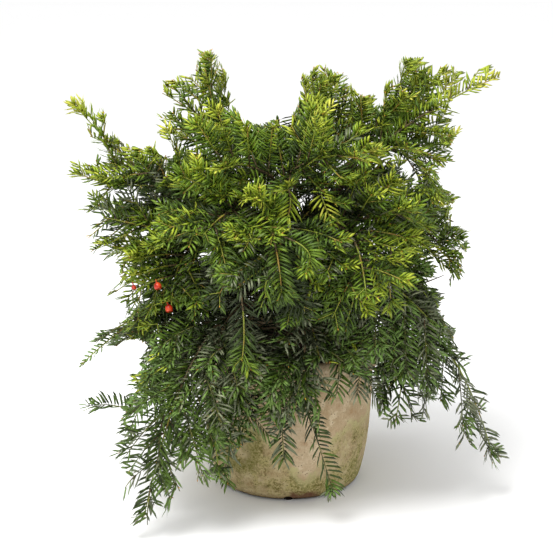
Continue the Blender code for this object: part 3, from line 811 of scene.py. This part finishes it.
def fan(shoots, path, mass, vigour, shade, chance):
    """A twig with its side shoots and the short ones at its tip. A weeping one is a bare plume."""
    plume = weeps(mass)
    vigour *= vigour_of(mass)
    if plume:
        path = path._replace(end=path.end - UP * (PLUME_DROOP * span(path)))
    path = kept_inside(turned_to_light(path, chance))
    if path is None or any(in_pot(point(path, share)) for share in (0.4, 0.7, 1.0)):
        return
    length = span(path)
    shoots.append(Shoot(path, False, vigour * (PLUME_VIGOUR if plume else 1.0), mass, 1, shade))
    if mass.spread < SLENDER_SPREAD:
        return
    count = int(length * (PLUME_FULLNESS if plume else SPRAY_FULLNESS) / SHOOT_GAP)
    sag = max(mass.sag, 0.0)
    first = chance.choice((0, 1))
    for number in range(count):
        share = 0.20 + 0.62 * (number + chance.uniform(0.2, 0.8)) / count
        hand = 1.0 if (number + first) % 2 else -1.0
        reach = max(length * (0.68 - 0.50 * share) * chance.uniform(0.75, 1.15), SHORTEST_SHOOT)
        angle = SHOOT_ANGLE + math.radians(chance.uniform(-9.0, 9.0))
        roll = math.radians(chance.uniform(-12.0, 26.0))
        side = branch(path, share, hand, angle, roll, reach, sag)
        spray(shoots, side, vigour, mass, 2, shade, chance)
    for hand in (-1.0, 1.0):
        angle = math.radians(chance.uniform(26.0, 44.0))
        roll = math.radians(chance.uniform(-10.0, 50.0))
        reach = chance.uniform(0.012, 0.024)
        side = branch(path, chance.uniform(0.86, 0.95), hand, angle, roll, reach, 0.0)
        spray(shoots, side, vigour * 0.9, mass, 3, shade, chance)


leader_along = directions(trunk_path._replace(start=TRUNK_FOOT), 1.0)[0]
grown = [(LEADER_MASS, mass_path(LEADER_MASS, TRUNK_TIP, leader_along))]
for bough in BOUGHS:
    grown.extend(stems_of(bough))
shoots = []
for mass, stem in grown:
    chance = random.Random(f"shoots {mass.name}")
    upright = mass.sag < 0.0
    shown_stem = kept_inside(stem) or stem
    shoots.append(Shoot(shown_stem, upright, vigour_of(mass), mass, 0, 0.0))
    rosette(shoots, shown_stem, mass, 5 if upright else 2, chance)
    stations = 3 * mass.twigs + 2
    kept = kept_share(stem)
    for station in range(0, stations - 1, 3 if mass.spread < SLENDER_SPREAD else 1):
        if kept < LEAST_KEPT or station_share(station, stations) < kept:
            twig = twig_path(mass, stem, station, stations)
            fan(shoots, twig, mass, chance.uniform(0.92, 1.08), 0.0, chance)
for bough in BOUGHS:
    chance = random.Random(f"inner {bough.name}")
    path = bough_path(bough)
    count = int(span(path) * 0.72 / INNER_GAP)
    low = 1.0 if bough.height < 0.30 else 0.0
    for number in range(count):
        share = 0.30 + 0.68 * number / count
        reach = chance.uniform(0.055, 0.085) + 0.020 * low
        angle = math.radians(chance.uniform(45.0, 65.0))
        twig = branch(path, share, 1.0, angle, GOLDEN_TURN * number, reach, 0.12 + 0.38 * low)
        fan(shoots, twig, bough.masses[0], chance.uniform(0.95, 1.1), 0.22, chance)
chance = random.Random("inner trunk")
for number in range(TRUNK_TWIGS):
    share = 0.14 + 0.80 * number / TRUNK_TWIGS
    reach = chance.uniform(0.070, 0.115)
    angle = math.radians(chance.uniform(50.0, 72.0))
    twig = branch(trunk_path, share, 1.0, angle, GOLDEN_TURN * number, reach, 0.15)
    fan(shoots, twig, LEADER_MASS._replace(sag=0.1, height=0.3), 1.0, 0.34, chance)


def places_on(some):
    """The places along shoots where others may start, each with the mass that it belongs to."""
    return [(point(shoot.path, step / 10.0), shoot.mass) for shoot in some for step in range(1, 10)]


def nearest_wood(place):
    """The place on the wood nearest to another, and its mass."""
    return min(wood, key=lambda spot: (spot[0] - place).length)


# The longest tips, as they stand out in the photo, each from the twig nearest to its root: its y,
# the x and z of its root, its bend and its tip in millimetres, and whether it stands upright.
LONG_TIPS = (
    (-20, -229, 434, -256, 530, -287, 537, True), (-20, -231, 439, -233, 457, -235, 481, False),
    (-30, -243, 447, -252, 451, -258, 455, False), (-40, -257, 428, -268, 442, -278, 448, False),
    (-50, -238, 414, -254, 413, -264, 404, False), (-50, -186, 445, -192, 467, -198, 483, False),
    (-60, -165, 445, -171, 465, -180, 481, False), (-30, -124, 504, -157, 510, -177, 504, False),
    (0, -130, 532, -147, 557, -163, 562, True), (0, -115, 527, -112, 564, -107, 595, True),
    (10, -103, 531, -93, 549, -87, 569, False), (0, -100, 527, -82, 535, -72, 545, False),
    (-120, -243, 162, -250, 155, -257, 145, False), (-228, -184, 85, -184, 50, -184, 22, False),
    (-222, -157, 170, -179, 103, -153, 54, False), (-200, -153, 115, -155, 87, -143, 57, False),
    (-190, -205, 90, -209, 69, -216, 57, False), (-100, -222, 352, -203, 310, -202, 260, False),
    (-130, -156, 298, -166, 282, -174, 264, False), (-60, 214, 379, 226, 371, 233, 353, False),
    (-70, 208, 343, 218, 334, 225, 322, False), (-40, 199, 427, 209, 420, 216, 413, False),
    (-90, 235, 144, 255, 108, 279, 71, False), (-140, 27, 461, 40, 440, 53, 411, False),
    (-150, 4, 455, 6, 431, -4, 410, False), (-220, -53, 326, -53, 284, -60, 245, False),
    (-228, -9, 407, -11, 371, -10, 334, False), (-228, -29, 375, -34, 352, -29, 329, False),
    (-215, -75, 361, -79, 343, -88, 330, False), (-215, 19, 407, 38, 392, 23, 366, False),
    (-190, 98, 386, 105, 365, 113, 343, False), (-190, 126, 396, 125, 348, 130, 311, False),
    (-205, 70, 346, 80, 330, 96, 311, False), (-165, -17, 220, -11, 157, -6, 87, False),
    (-172, -5, 236, 21, 174, 59, 47, False), (-165, 63, 247, 68, 213, 63, 180, False),
    (-150, 100, 242, 102, 201, 117, 166, False), (-178, -105, 197, -57, 173, -26, 126, False),
    (-168, -73, 172, -75, 116, -86, 71, False), (-150, 92, 250, 96, 215, 91, 174, False),
    (-200, -97, 272, -99, 249, -104, 233, False),
)
wood = places_on(shoot for shoot in shoots if shoot.order < 2)
for number, (depth, *line, upright) in enumerate(LONG_TIPS):
    chance = random.Random(f"long {number}")
    root, bend, tip = (Vector((x / 1000.0, depth / 1000.0, z / 1000.0))
                       for x, z in zip(line[::2], line[1::2]))
    start, mass = nearest_wood(root)
    path = turned_to_light(Path(start, bend, tip, across(0.0)), chance, LONG_TIP_UNREST)
    high = tip.z > WEEPING_HEIGHT
    shade = -0.12 if upright else (-0.05 if high else 0.0)
    shoots.append(Shoot(path, upright, 0.92 if high else 0.96, mass, 4, shade))
    rosette(shoots, path, mass, 5 if upright else 3, chance)

# More growth where the photo doesn't reach: weeping plumes at the sides and back, and short upright
# tips that close the top. Each is a bearing in degrees, and a reach, height and fall in millimetres.
FILLINGS = (
    (-3, 240, 215, 90), (8, 235, 200, 100), (20, 230, 190, 100), (32, 235, 210, 90),
    (60, 225, 185, 100), (74, 220, 200, 90), (88, 215, 180, 100), (98, 225, 205, 100),
    (120, 220, 190, 100), (142, 225, 215, 90), (166, 230, 205, 100), (176, 225, 185, 100),
    (-174, 220, 200, 100), (-165, 215, 215, 90), (44, 220, 225, 100), (110, 210, 225, 100),
    (130, 70, 500, -60), (100, 90, 480, -60), (165, 60, 490, -50), (70, 110, 490, -60),
    (120, 130, 455, -50), (150, 100, 470, -50), (85, 50, 500, -60), (30, 130, 490, -50),
)
for number, (bearing, *sizes) in enumerate(FILLINGS):
    chance = random.Random(f"filling {number}")
    reach, height, fall = (size / 1000.0 for size in sizes)
    low = fall > 0.0
    turn = round_axis(bearing, reach * 0.94, height + fall)
    tip = round_axis(bearing, reach, height)
    start, mass = nearest_wood(round_axis(bearing, reach * 0.60, height + abs(fall) * 0.7))
    if not low:
        turn = start.lerp(tip, 0.5)
    mass = mass._replace(sag=0.1, height=0.2 if low else 0.45, spread=0.08)
    fan(shoots, Path(start, turn, tip, across(bearing)), mass, 1.0, 0.0 if low else 0.08, chance)

wood += places_on(shoot for shoot in shoots if shoot.order == 4)


def nearest_seen(place, reach):
    """The point on a twig that is nearest to the viewer, of those seen close to a place."""
    near = [(math.dist(seen(*spot), place), spot) for spot, _ in wood]
    close = [spot for gap, spot in near if gap < reach]
    return min(close, key=lambda spot: spot.y) if close else min(near)[1]


def tube_rows(path, sides, rings, first, last, thick, thin):
    """The points of one tapering tube, as rows, with its faces."""
    rows, faces = [], []
    for ring in range(rings + 1):
        share = first + (last - first) * ring / rings
        along, side, upper = directions(path, share)
        radius = thick + (thin - thick) * ring / rings
        centre = point(path, share)
        for corner in range(sides):
            turn = 2.0 * math.pi * corner / sides
            rows.append(centre + side * (math.cos(turn) * radius) + upper * (math.sin(turn) * radius))
    for ring in range(rings):
        for corner in range(sides):
            after = (corner + 1) % sides
            low, high = ring * sides, (ring + 1) * sides
            faces.append((low + corner, low + after, high + after, high + corner))
    faces.append(tuple(range(sides))[::-1])
    faces.append(tuple(rings * sides + corner for corner in range(sides)))
    return rows, faces


def shape_of(rows, faces):
    """A bmesh of rows of points and faces, with its faces turned outwards."""
    mesh = bpy.data.meshes.new("rows")
    mesh.from_pydata(rows, [], faces)
    shape = bmesh.new()
    shape.from_mesh(mesh)
    bpy.data.meshes.remove(mesh)
    bmesh.ops.recalc_face_normals(shape, faces=shape.faces)
    return shape


def twig_piece(name, tubes, finish):
    """All the tubes of one finish, joined."""
    rows, faces = [], []
    for tube in tubes:
        more, round_it = tube_rows(*tube)
        faces.extend(tuple(len(rows) + index for index in face) for face in round_it)
        rows.extend(more)
    return shown(name, shape_of(rows, faces), finish)


# The three fruits hang from twigs near the viewer, and no needle hides them. Each row has the x
# and z of a fruit in the front view, its size, and how far from there its twig may be.
HANGING = Vector((0.30, -0.42, -0.86)).normalized()
ARILS = ((-0.179, 0.290, 1.0, 0.008), (-0.159, 0.258, 1.0, 0.012), (-0.221, 0.280, 0.66, 0.008))
aril_seats = [nearest_seen((aril[0], aril[1] + 0.004), aril[3]) + HANGING * 0.003 for aril in ARILS]
aril_discs = [Opening(*seen(*(seat + HANGING * 0.005 * aril[2])), 0.0078 * aril[2], 0.0084 * aril[2])
              for aril, seat in zip(ARILS, aril_seats)]


def hides_fruit(path):
    """Whether a short shoot passes in front of a fruit."""
    spots = [point(path, step / 8.0) for step in range(1, 9)]
    return any(within(disc, *seen(*spot)) and spot.y < seat.y + 0.002
               for disc, seat in zip(aril_discs, aril_seats) for spot in spots)


shoots = [shoot for shoot in shoots if shoot.order < 2 or not hides_fruit(shoot.path)]

# Each tube: a path, its sides and rings, where it starts and ends on the path, and its two radii.
old_wood, young_wood, shaded_wood = [], [], []
for shoot in shoots:
    # The weeping shoots low down get a darker copy of the green wood, as painted shade.
    green_wood = shaded_wood if weeps(shoot.mass) else young_wood
    if shoot.order == 0:
        old_wood.append((shoot.path, 6, 10, -0.01, 0.60, STEM_RADIUS, STEM_RADIUS * 0.62))
        young_wood.append((shoot.path, 5, 8, 0.58, 1.0, STEM_RADIUS * 0.66, 0.0007))
    elif shoot.order in (1, 4):
        old_wood.append((shoot.path, 4, 3, 0.0, 0.30, 0.0013, 0.0011))
        green_wood.append((shoot.path, 4, 5, 0.28, 1.0, 0.0011, 0.0006))
    else:
        green_wood.append((shoot.path, 3, 3, 0.0, 1.0, 0.0009, 0.0005))

# A dead twig, long bare, stands out on the right, from its root to its end in the front view.
DEAD_TWIG = ((0.174, 0.284), (0.218, 0.297))
root = nearest_seen(DEAD_TWIG[0], 0.010)
depth = (EYE.y - root.y) / EYE.y
end_x, end_z = DEAD_TWIG[1]
end = Vector((EYE.x + (end_x - EYE.x) * depth, root.y, EYE.z + (end_z - EYE.z) * depth))
dead = Path(root, root.lerp(end, 0.5) - UP * 0.002, end, across(0.0))
old_wood.append((dead, 6, 8, 0.0, 1.0, 0.0016, 0.0005))

mass_nodes = ["foliage_" + mass.name for mass, _ in grown]

brown_twig = two_tone("brown_twig", 0.8, 0.3, 260.0, 4.0, 0.36, 0.64, "3C3222", "6A5A3C")
green_twig = two_tone("green_twig", 0.6, 0.4, 55.0, 3.0, 0.46, 0.70, "7F8A2C", "9A7A38")
# A darker copy of the green twigs' finish, as painted shade on the weeping shoots.
dull_twig = two_tone("dull_twig", 0.7, 0.3, 70.0, 3.0, 0.42, 0.66, "3F4320", "6E7030")
twigs = twig_piece("old_twigs", old_wood, brown_twig)
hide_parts(*mass_nodes)
young = twig_piece("young_shoots", young_wood, green_twig)
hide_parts(*mass_nodes)
shaded_piece = twig_piece("shaded_shoots", shaded_wood, dull_twig)
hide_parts(*mass_nodes)


# The needles: flat and sharp, about 20 mm long and 3 mm wide, in two rows along a spreading shoot
# and all round an upright one. Each is a closed sliver of ten faces with a ridge. A spray's colour
# comes from its age and from painted light and shade, lighter high up and out on the crown and
# darker deep inside, and the needles of one colour are joined.
NEEDLE_LENGTH = 0.0236
NEEDLE_WIDTH = 0.0030
NEEDLE_RIDGE = 0.0005
NEEDLE_CORNERS = 7
NEEDLE_ANGLE = 68.0
TIP_CLOSES_BY = 32.0
END_ZONE = 0.014
STEM_END_ZONE = 0.030
FOOT_ZONE = 0.012
GROWTH_ZONE = 0.026
NEEDLE_STEP = 0.00180
PLUME_STEP = 0.00185
NEEDLE_RISE = math.radians(16.0)
RISE_UNREST = math.radians(9.0)
PLUME_RISE = math.radians(8.0)
PLUME_UNREST = math.radians(17.0)
RAISED = math.radians(24.0)
NEEDLE_ROOM = 0.012
TOP_ROOM = 0.002
FLOOR_ROOM = -0.001
OPENING_EDGE = 0.80
SHEEN_SHARE = 0.08
WEEPING_SHEEN_SHARE = 0.62
DULL_SHEEN_BELOW = 0.64
PALE_ABOVE = 0.88
PIECE_LIMIT = 190000

# How each order of shoot differs (stem, twig, side shoot, tip spray, long tip): how much of its
# foot is bare, the size of its needles, and how bright this year's growth is at its tip.
BARE_FOOT = (0.03, 0.04, 0.04, 0.08, 0.06)
ORDER_SIZE = (1.0, 1.0, 0.97, 0.85, 1.0)
TIP_GROWTH = (0.34, 0.26, 0.20, 0.30, 0.40)

# The greens, from shade to new growth, each with its roughness. Two dull ones are painted sheen,
# greyish and pale highlights on old needles, and a lush one stands for the bright greens on weeping
# shoots.
GREENS = (
    ("needles_shadow", "27330F", 0.55),
    ("needles_deep", "354812", 0.52),
    ("needles_dusty", "6C7356", 0.42),
    ("needles_pale", "868C6C", 0.40),
    ("needles_mid", "4A6216", 0.48),
    ("needles_full", "647E1C", 0.48),
    ("needles_lush", "66823A", 0.46),
    ("needles_bright", "84961E", 0.50),
    ("needles_fresh", "A0AC2E", 0.50),
    ("needles_tip", "BDBE46", 0.52),
)
SHADOW, DEEP, DULL_SHEEN, PALE, MID, FULL, LUSH, BRIGHT, FRESH, TIP = range(len(GREENS))
TONE_STEPS = ((0.24, SHADOW), (0.36, DEEP), (0.50, MID), (0.64, FULL), (0.80, BRIGHT), (0.96, FRESH))

# Where the crown is lighter or darker than its height and reach alone would make it, as seen from
# the front: its hollows are in deep shade, and some sides are open to the light.
Patch = namedtuple("Patch", "x z half_width half_height tone")
PATCHES = tuple(Patch(*row) for row in (
    (-0.060, 0.262, 0.062, 0.040, -0.18), (0.030, 0.245, 0.050, 0.030, -0.18),
    (-0.196, 0.418, 0.060, 0.056, -0.20), (-0.041, 0.418, 0.064, 0.056, 0.11),
    (-0.212, 0.320, 0.044, 0.066, 0.20), (-0.181, 0.155, 0.072, 0.060, 0.28),
    (-0.035, 0.125, 0.050, 0.040, 0.15), (0.100, 0.480, 0.110, 0.060, -0.04),
    (-0.175, 0.040, 0.060, 0.070, 0.12), (0.156, 0.215, 0.050, 0.050, 0.14),
    (0.184, 0.305, 0.060, 0.050, 0.06), (0.044, 0.552, 0.045, 0.045, 0.14),
    (-0.052, 0.305, 0.060, 0.050, -0.05),
))


def bezier_rows(path, shares):
    """Points and directions at many shares of a path, as arrays."""
    start, turn, end = (np.array(path[i][:]) for i in range(3))
    t = shares[:, None]
    spots = (1 - t) ** 2 * start + 2 * t * (1 - t) * turn + t ** 2 * end
    along = (1 - t) * (turn - start) + t * (end - turn)
    along /= np.linalg.norm(along, axis=1, keepdims=True)
    upper = np.cross(along, np.array(path.side[:]))
    upper /= np.linalg.norm(upper, axis=1, keepdims=True)
    return spots, along, np.cross(upper, along), upper


def unit(rows):
    """The rows made one long."""
    return rows / np.linalg.norm(rows, axis=1, keepdims=True)


def needles_of(shoot, draw):
    """Each needle's base, direction, width's direction, length and share, and the shoot's direction."""
    length = span(shoot.path)
    bare = BARE_FOOT[shoot.order]
    loose = weeps(shoot.mass) and shoot.order != 4
    count = max(7, int(length * (1.0 - bare) / (PLUME_STEP if loose else NEEDLE_STEP)))
    index = np.arange(count)
    shares = bare + (1.0 - bare) * (index + draw.uniform(-0.15, 0.15, count) + 0.5) / count
    shares = np.clip(shares, 0.0, 1.0)
    spots, along, side, upper = bezier_rows(shoot.path, shares)
    to_tip = length * (1.0 - shares)
    end = np.clip(1.0 - to_tip / END_ZONE, 0.0, 1.0)
    lean = np.radians(NEEDLE_ANGLE - TIP_CLOSES_BY * end ** 1.3 + draw.normal(0.0, 5.0, count))
    if shoot.radial:
        ring = GOLDEN_TURN * index + draw.uniform(-0.3, 0.3, count)
        lean -= np.radians(10.0)
        out = side * np.cos(ring)[:, None] + upper * np.sin(ring)[:, None]
    else:
        hand = np.where(index % 2 == 0, 1.0, -1.0)
        lift, unrest = (PLUME_RISE, PLUME_UNREST) if loose else (0.0, RISE_UNREST)
        rise = NEEDLE_RISE + draw.normal(lift, unrest, count)
        rise += np.where(index % 6 < 2, RAISED, 0.0)
        out = side * (hand * np.cos(rise))[:, None] + upper * np.sin(rise)[:, None]
    reach = unit(along * np.cos(lean)[:, None] + out * np.sin(lean)[:, None])
    wide = unit(np.cross(along, out) if shoot.radial else np.cross(upper, reach))
    twist = draw.normal(0.0, math.radians(16.0 if loose else 9.0), count)
    wide = wide * np.cos(twist)[:, None] + np.cross(reach, wide) * np.sin(twist)[:, None]
    near = np.clip((shares - bare) * length / FOOT_ZONE, 0.0, 1.0)
    size = NEEDLE_LENGTH * shoot.vigour * (0.80 + 0.20 * near) * (1.0 - 0.36 * end ** 2)
    if shoot.order == 0:
        size *= 1.0 - 0.35 * np.clip(1.0 - to_tip / STEM_END_ZONE, 0.0, 1.0)
    size *= ORDER_SIZE[shoot.order] * draw.uniform(0.88, 1.10, count)
    return spots, reach, wide, size, shares, along


def needle_points(spots, reach, wide, size, along, draw):
    """The seven points of each needle: its base, two pairs on its edges, its tip and its ridge."""
    thick = np.cross(reach, wide)
    half = 0.5 * NEEDLE_WIDTH * draw.uniform(0.88, 1.12, len(spots))[:, None]
    size = size[:, None]
    bend = (along * 0.24 - np.array((0.0, 0.0, 0.07))) * size
    first = spots + reach * (0.17 * size) + bend * 0.03
    second = spots + reach * (0.74 * size) + bend * 0.52
    ridge = spots + reach * (0.46 * size) + bend * 0.20 + thick * NEEDLE_RIDGE
    tip = spots + reach * (0.97 * size) + bend
    return np.stack([spots, first - wide * half * 0.85, first + wide * half * 0.85,
                     second - wide * half, second + wide * half, tip, ridge], axis=1)


NEEDLE_FACES = np.array([
    (2, 1, 0), (4, 3, 1), (2, 4, 1), (4, 5, 3),
    (0, 1, 6), (1, 3, 6), (3, 5, 6), (5, 4, 6), (4, 2, 6), (2, 0, 6)])


def light_on(spots):
    """How much light a place gets, from 0 deep inside or low down to 1 on top of the crown."""
    radius = np.hypot(spots[:, 0], spots[:, 1])
    shell = np.clip((radius - 0.05) / 0.17, 0.0, 1.0)
    top = np.clip((spots[:, 2] - 0.24) / 0.30, 0.0, 1.0)
    return 0.30 * shell + 0.58 * top ** 1.2 + 0.14 * top * shell


draw = np.random.default_rng(2011)
heaps = [[] for _ in GREENS]
for shoot in shoots:
    spots, reach, wide, size, shares, along = needles_of(shoot, draw)
    rows = needle_points(spots, reach, wide, size, along, draw)
    light = light_on(spots)
    # The tone is partly painted light and shade, lighter high up and out on the crown and darker deep
    # inside, in the hollows and on shaded shoots, and partly age, with this year's growth brighter at the
    # tips.
    tone = 0.13 + 0.46 * light - shoot.shade + draw.normal(0.0, 0.10)
    tone += draw.normal(0.0, 0.05, len(spots)) + 0.08 * shares
    to_tip = span(shoot.path) * (1.0 - shares)
    growth = np.clip(1.0 - to_tip / GROWTH_ZONE, 0.0, 1.0) * (0.35 + light) * draw.uniform(0.35, 1.15)
    tone += growth * TIP_GROWTH[shoot.order] * (1.0 - 2.0 * shoot.shade)
    across_view, up_view = seen(*spots.T)
    for patch in PATCHES:
        far = ((across_view - patch.x) / patch.half_width) ** 2
        far += ((up_view - patch.z) / patch.half_height) ** 2
        tone += patch.tone * np.exp(-far)
    picks = np.select([tone < limit for limit, _ in TONE_STEPS], [green for _, green in TONE_STEPS], TIP)
    weeping = weeps(shoot.mass)
    # Painted sheen: on some shoots, most of the weeping ones, many darker needles take a dull sheen green
    # and a few a pale one.
    if draw.random() < (WEEPING_SHEEN_SHARE if weeping else SHEEN_SHARE):
        sheen = draw.random(len(spots))
        picks = np.where((picks <= MID) & (sheen < DULL_SHEEN_BELOW), DULL_SHEEN, picks)
        picks = np.where((picks <= MID) & (sheen > PALE_ABOVE), PALE, picks)
    if weeping:
        picks = np.where((picks == FULL) | (picks == BRIGHT), LUSH, picks)
    tips = rows[:, 5]
    radius = np.hypot(tips[:, 0], tips[:, 1])
    keep = np.all((tips > np.array(box_low) - (NEEDLE_ROOM, NEEDLE_ROOM, FLOOR_ROOM))
                  & (tips < np.array(box_high) + (NEEDLE_ROOM, NEEDLE_ROOM, TOP_ROOM)), axis=1)
    fronts = () if shoot.order == 4 else BARE_FRONTS
    keep &= ~in_opening(*tips.T, OPENING_EDGE, fronts)
    keep &= ~((tips[:, 2] < POT_HEIGHT - 0.004) & (radius < POT_BODY_RADIUS + 0.002))
    for disc, seat in zip(aril_discs, aril_seats):
        for place in (tips, rows[:, 3], rows[:, 6], (rows[:, 1] + rows[:, 6]) / 2.0, rows[:, 1], spots):
            keep &= ~(within(disc, *seen(*place.T)) & (place[:, 1] < seat.y))
    for group in np.unique(picks[keep]):
        heaps[group].append(rows[keep & (picks == group)])


def needle_piece(name, rows, finish):
    """One joined mesh from an array of needles."""
    count = len(rows)
    faces = (NEEDLE_FACES[None] + NEEDLE_CORNERS * np.arange(count)[:, None, None]).reshape(-1, 3)
    mesh = bpy.data.meshes.new(name)
    mesh.vertices.add(count * NEEDLE_CORNERS)
    mesh.vertices.foreach_set("co", rows.reshape(-1).astype(np.float32))
    mesh.loops.add(faces.size)
    mesh.loops.foreach_set("vertex_index", faces.reshape(-1).astype(np.int32))
    mesh.polygons.add(len(faces))
    mesh.polygons.foreach_set("loop_start", np.arange(0, faces.size, 3, dtype=np.int32))
    mesh.update(calc_edges=True)
    mesh.validate()
    mesh.materials.append(finish)
    piece = bpy.data.objects.new(name, mesh)
    bpy.context.scene.collection.objects.link(piece)
    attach(piece, "root")
    return piece


for green, (name, code, roughness) in enumerate(GREENS):
    finish, add, coat = new_finish(name, roughness, 0.38)
    place = add("TexCoord").outputs["Object"]
    drift = mottle(add, place, 32.0, 3.0)
    hue = sums(add, "MULTIPLY_ADD", drift, 0.030, 0.485)
    value = sums(add, "MULTIPLY_ADD", drift, 0.55, 0.72)
    vary = add("HueSaturation", {"Color": linear(code), "Saturation": 1.0, "Hue": hue, "Value": value})
    coat("Base Color", vary.outputs[0])
    rows = np.concatenate(heaps[green])
    parts = math.ceil(len(rows) * len(NEEDLE_FACES) / PIECE_LIMIT)
    for number, part in enumerate(np.array_split(rows, parts)):
        piece = needle_piece(name if parts == 1 else f"{name}_{number + 1}", part, finish)
        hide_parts(*mass_nodes)


# The buds: an amber, scaly bud of two to three millimetres at the tips of nearly half the shoots.
# Each is a lozenge of eight faces, and they are joined.
BUD_LENGTH = 0.0034
BUD_RADIUS = 0.0009
BUDLESS = 0.55

chance = random.Random("buds")
rows, faces = [], []
for shoot in shoots:
    if chance.random() < BUDLESS or in_opening(*shoot.path.end):
        continue
    along, side, upper = directions(shoot.path, 1.0)
    tip = shoot.path.end
    first = len(rows)
    waist = [side, upper, -side, -upper]
    rows += [tip - along * (BUD_LENGTH * 0.4), *(tip + spoke * BUD_RADIUS for spoke in waist),
             tip + along * (BUD_LENGTH * 0.6)]
    for corner in range(4):
        here, after = first + 1 + corner, first + 1 + (corner + 1) % 4
        faces += [(first, after, here), (first + 5, here, after)]
amber = two_tone("amber_bud", 0.6, 0.4, 90.0, 2.0, 0.40, 0.62, "8F5F24", "D09A34")
buds = shown("buds", shape_of(rows, faces), amber)
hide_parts(*mass_nodes)


# The arils: three ripe fruits on the left, each a fleshy red cup ten millimetres long, open at its
# end round one dark seed, on a short stalk. The cups are spun, and joined; the seeds too.
ARIL_OUTLINE = (
    (0.0, 0.0), (0.0024, 0.0003), (0.0041, 0.0018), (0.0050, 0.0044), (0.0050, 0.0068),
    (0.0043, 0.0088), (0.0034, 0.0094), (0.0027, 0.0088), (0.0026, 0.0062), (0.0, 0.0054),
)
ARIL_STEPS = 26
SEED_RADIUS = 0.0022

cups = bmesh.new()
seeds = bmesh.new()
turn = UP.rotation_difference(HANGING).to_matrix()
for (_, _, size, _), seat in zip(ARILS, aril_seats):
    loop, ribs = outlined(cups, ARIL_OUTLINE)
    spun(cups, loop + ribs, ARIL_STEPS)
    island = [vertex for vertex in cups.verts if not vertex.tag]
    bmesh.ops.scale(cups, verts=island, vec=(size, size, size))
    turned_and_set(cups, island, turn, seat)
    stalk = bmesh.ops.create_cone(cups, cap_ends=True, segments=8,
                                  radius1=0.0007, radius2=0.0011, depth=0.0050)["verts"]
    turned_and_set(cups, stalk, turn, seat - HANGING * 0.0020)
    for vertex in cups.verts:
        vertex.tag = True
    seed = bmesh.ops.create_uvsphere(seeds, u_segments=16, v_segments=10,
                                     radius=SEED_RADIUS * size)["verts"]
    bmesh.ops.scale(seeds, verts=seed, vec=(1.0, 1.0, 1.25))
    turned_and_set(seeds, seed, turn, seat + HANGING * (0.0068 * size))
bmesh.ops.remove_doubles(cups, verts=cups.verts, dist=0.00001)
bmesh.ops.recalc_face_normals(cups, faces=cups.faces)
bmesh.ops.recalc_face_normals(seeds, faces=seeds.faces)
flesh = two_tone("aril_flesh", 0.35, 0.5, 130.0, 3.0, 0.40, 0.64, "B4200C", "DE4A1E")
husk, add, coat = new_finish("seed_husk", 0.5, 0.4)
place = add("TexCoord").outputs["Object"]
drift = mottle(add, place, 300.0, 2.0)
coat("Base Color", mixed(add, drift, "2A2412", "4C4422"))
arils = shown("arils", cups, flesh)
seed_piece = shown("aril_seeds", seeds, husk)
for fruit in (arils, seed_piece):
    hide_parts(*mass_nodes)


# The studio: a plain pale floor, an even white sky, one broad soft light above the front left
# and the camera, which looks down by 15 degrees at the plant from 2.1 m away.
shape = bmesh.new()
bmesh.ops.create_grid(shape, x_segments=1, y_segments=1, size=30.0)
floor = as_object("floor", shape)
pale, add, coat = new_finish("pale_floor", 0.9, 0.1)
coat("Base Color", (0.95, 0.95, 0.95, 1.0))
floor.data.materials.append(pale)

sky = bpy.data.worlds.new("studio")
sky.use_nodes = True
glow = sky.node_tree.nodes["Background"]
glow.inputs["Color"].default_value = (1.0, 1.0, 1.0, 1.0)
glow.inputs["Strength"].default_value = 1.04
bpy.context.scene.world = sky


def soft_light(name, place, aim, size, power):
    """A round lamp that looks at a point."""
    light = bpy.data.lights.new(name, "AREA")
    light.shape = "DISK"
    light.size = size
    light.energy = power
    lamp = bpy.data.objects.new(name, light)
    lamp.location = place
    lamp.rotation_euler = (Vector(aim) - Vector(place)).to_track_quat("-Z", "Y").to_euler()
    bpy.context.scene.collection.objects.link(lamp)


soft_light("overhead", (-0.7, -0.8, 2.3), (0.0, 0.0, 0.35), 1.5, 63.0)

CAMERA_PITCH = math.radians(15.0)
CAMERA_DISTANCE = 2.1
CAMERA_AIM = Vector((-0.0161, 0.0, 0.2952))
SENSOR_WIDTH = 36.0
FOCAL_PIXELS = 1500.0
FRAME_PIXELS = 553.0
lens = bpy.data.cameras.new("camera")
lens.sensor_width = SENSOR_WIDTH
lens.lens = SENSOR_WIDTH * FOCAL_PIXELS / FRAME_PIXELS
lens.clip_end = 100.0
camera = bpy.data.objects.new("camera", lens)
backward = Vector((0.0, math.cos(CAMERA_PITCH), -math.sin(CAMERA_PITCH)))
camera.location = CAMERA_AIM - backward * CAMERA_DISTANCE
camera.rotation_euler = (math.pi / 2.0 - CAMERA_PITCH, 0.0, 0.0)
bpy.context.scene.collection.objects.link(camera)
bpy.context.scene.camera = camera
bpy.context.scene.view_settings.view_transform = "Standard"
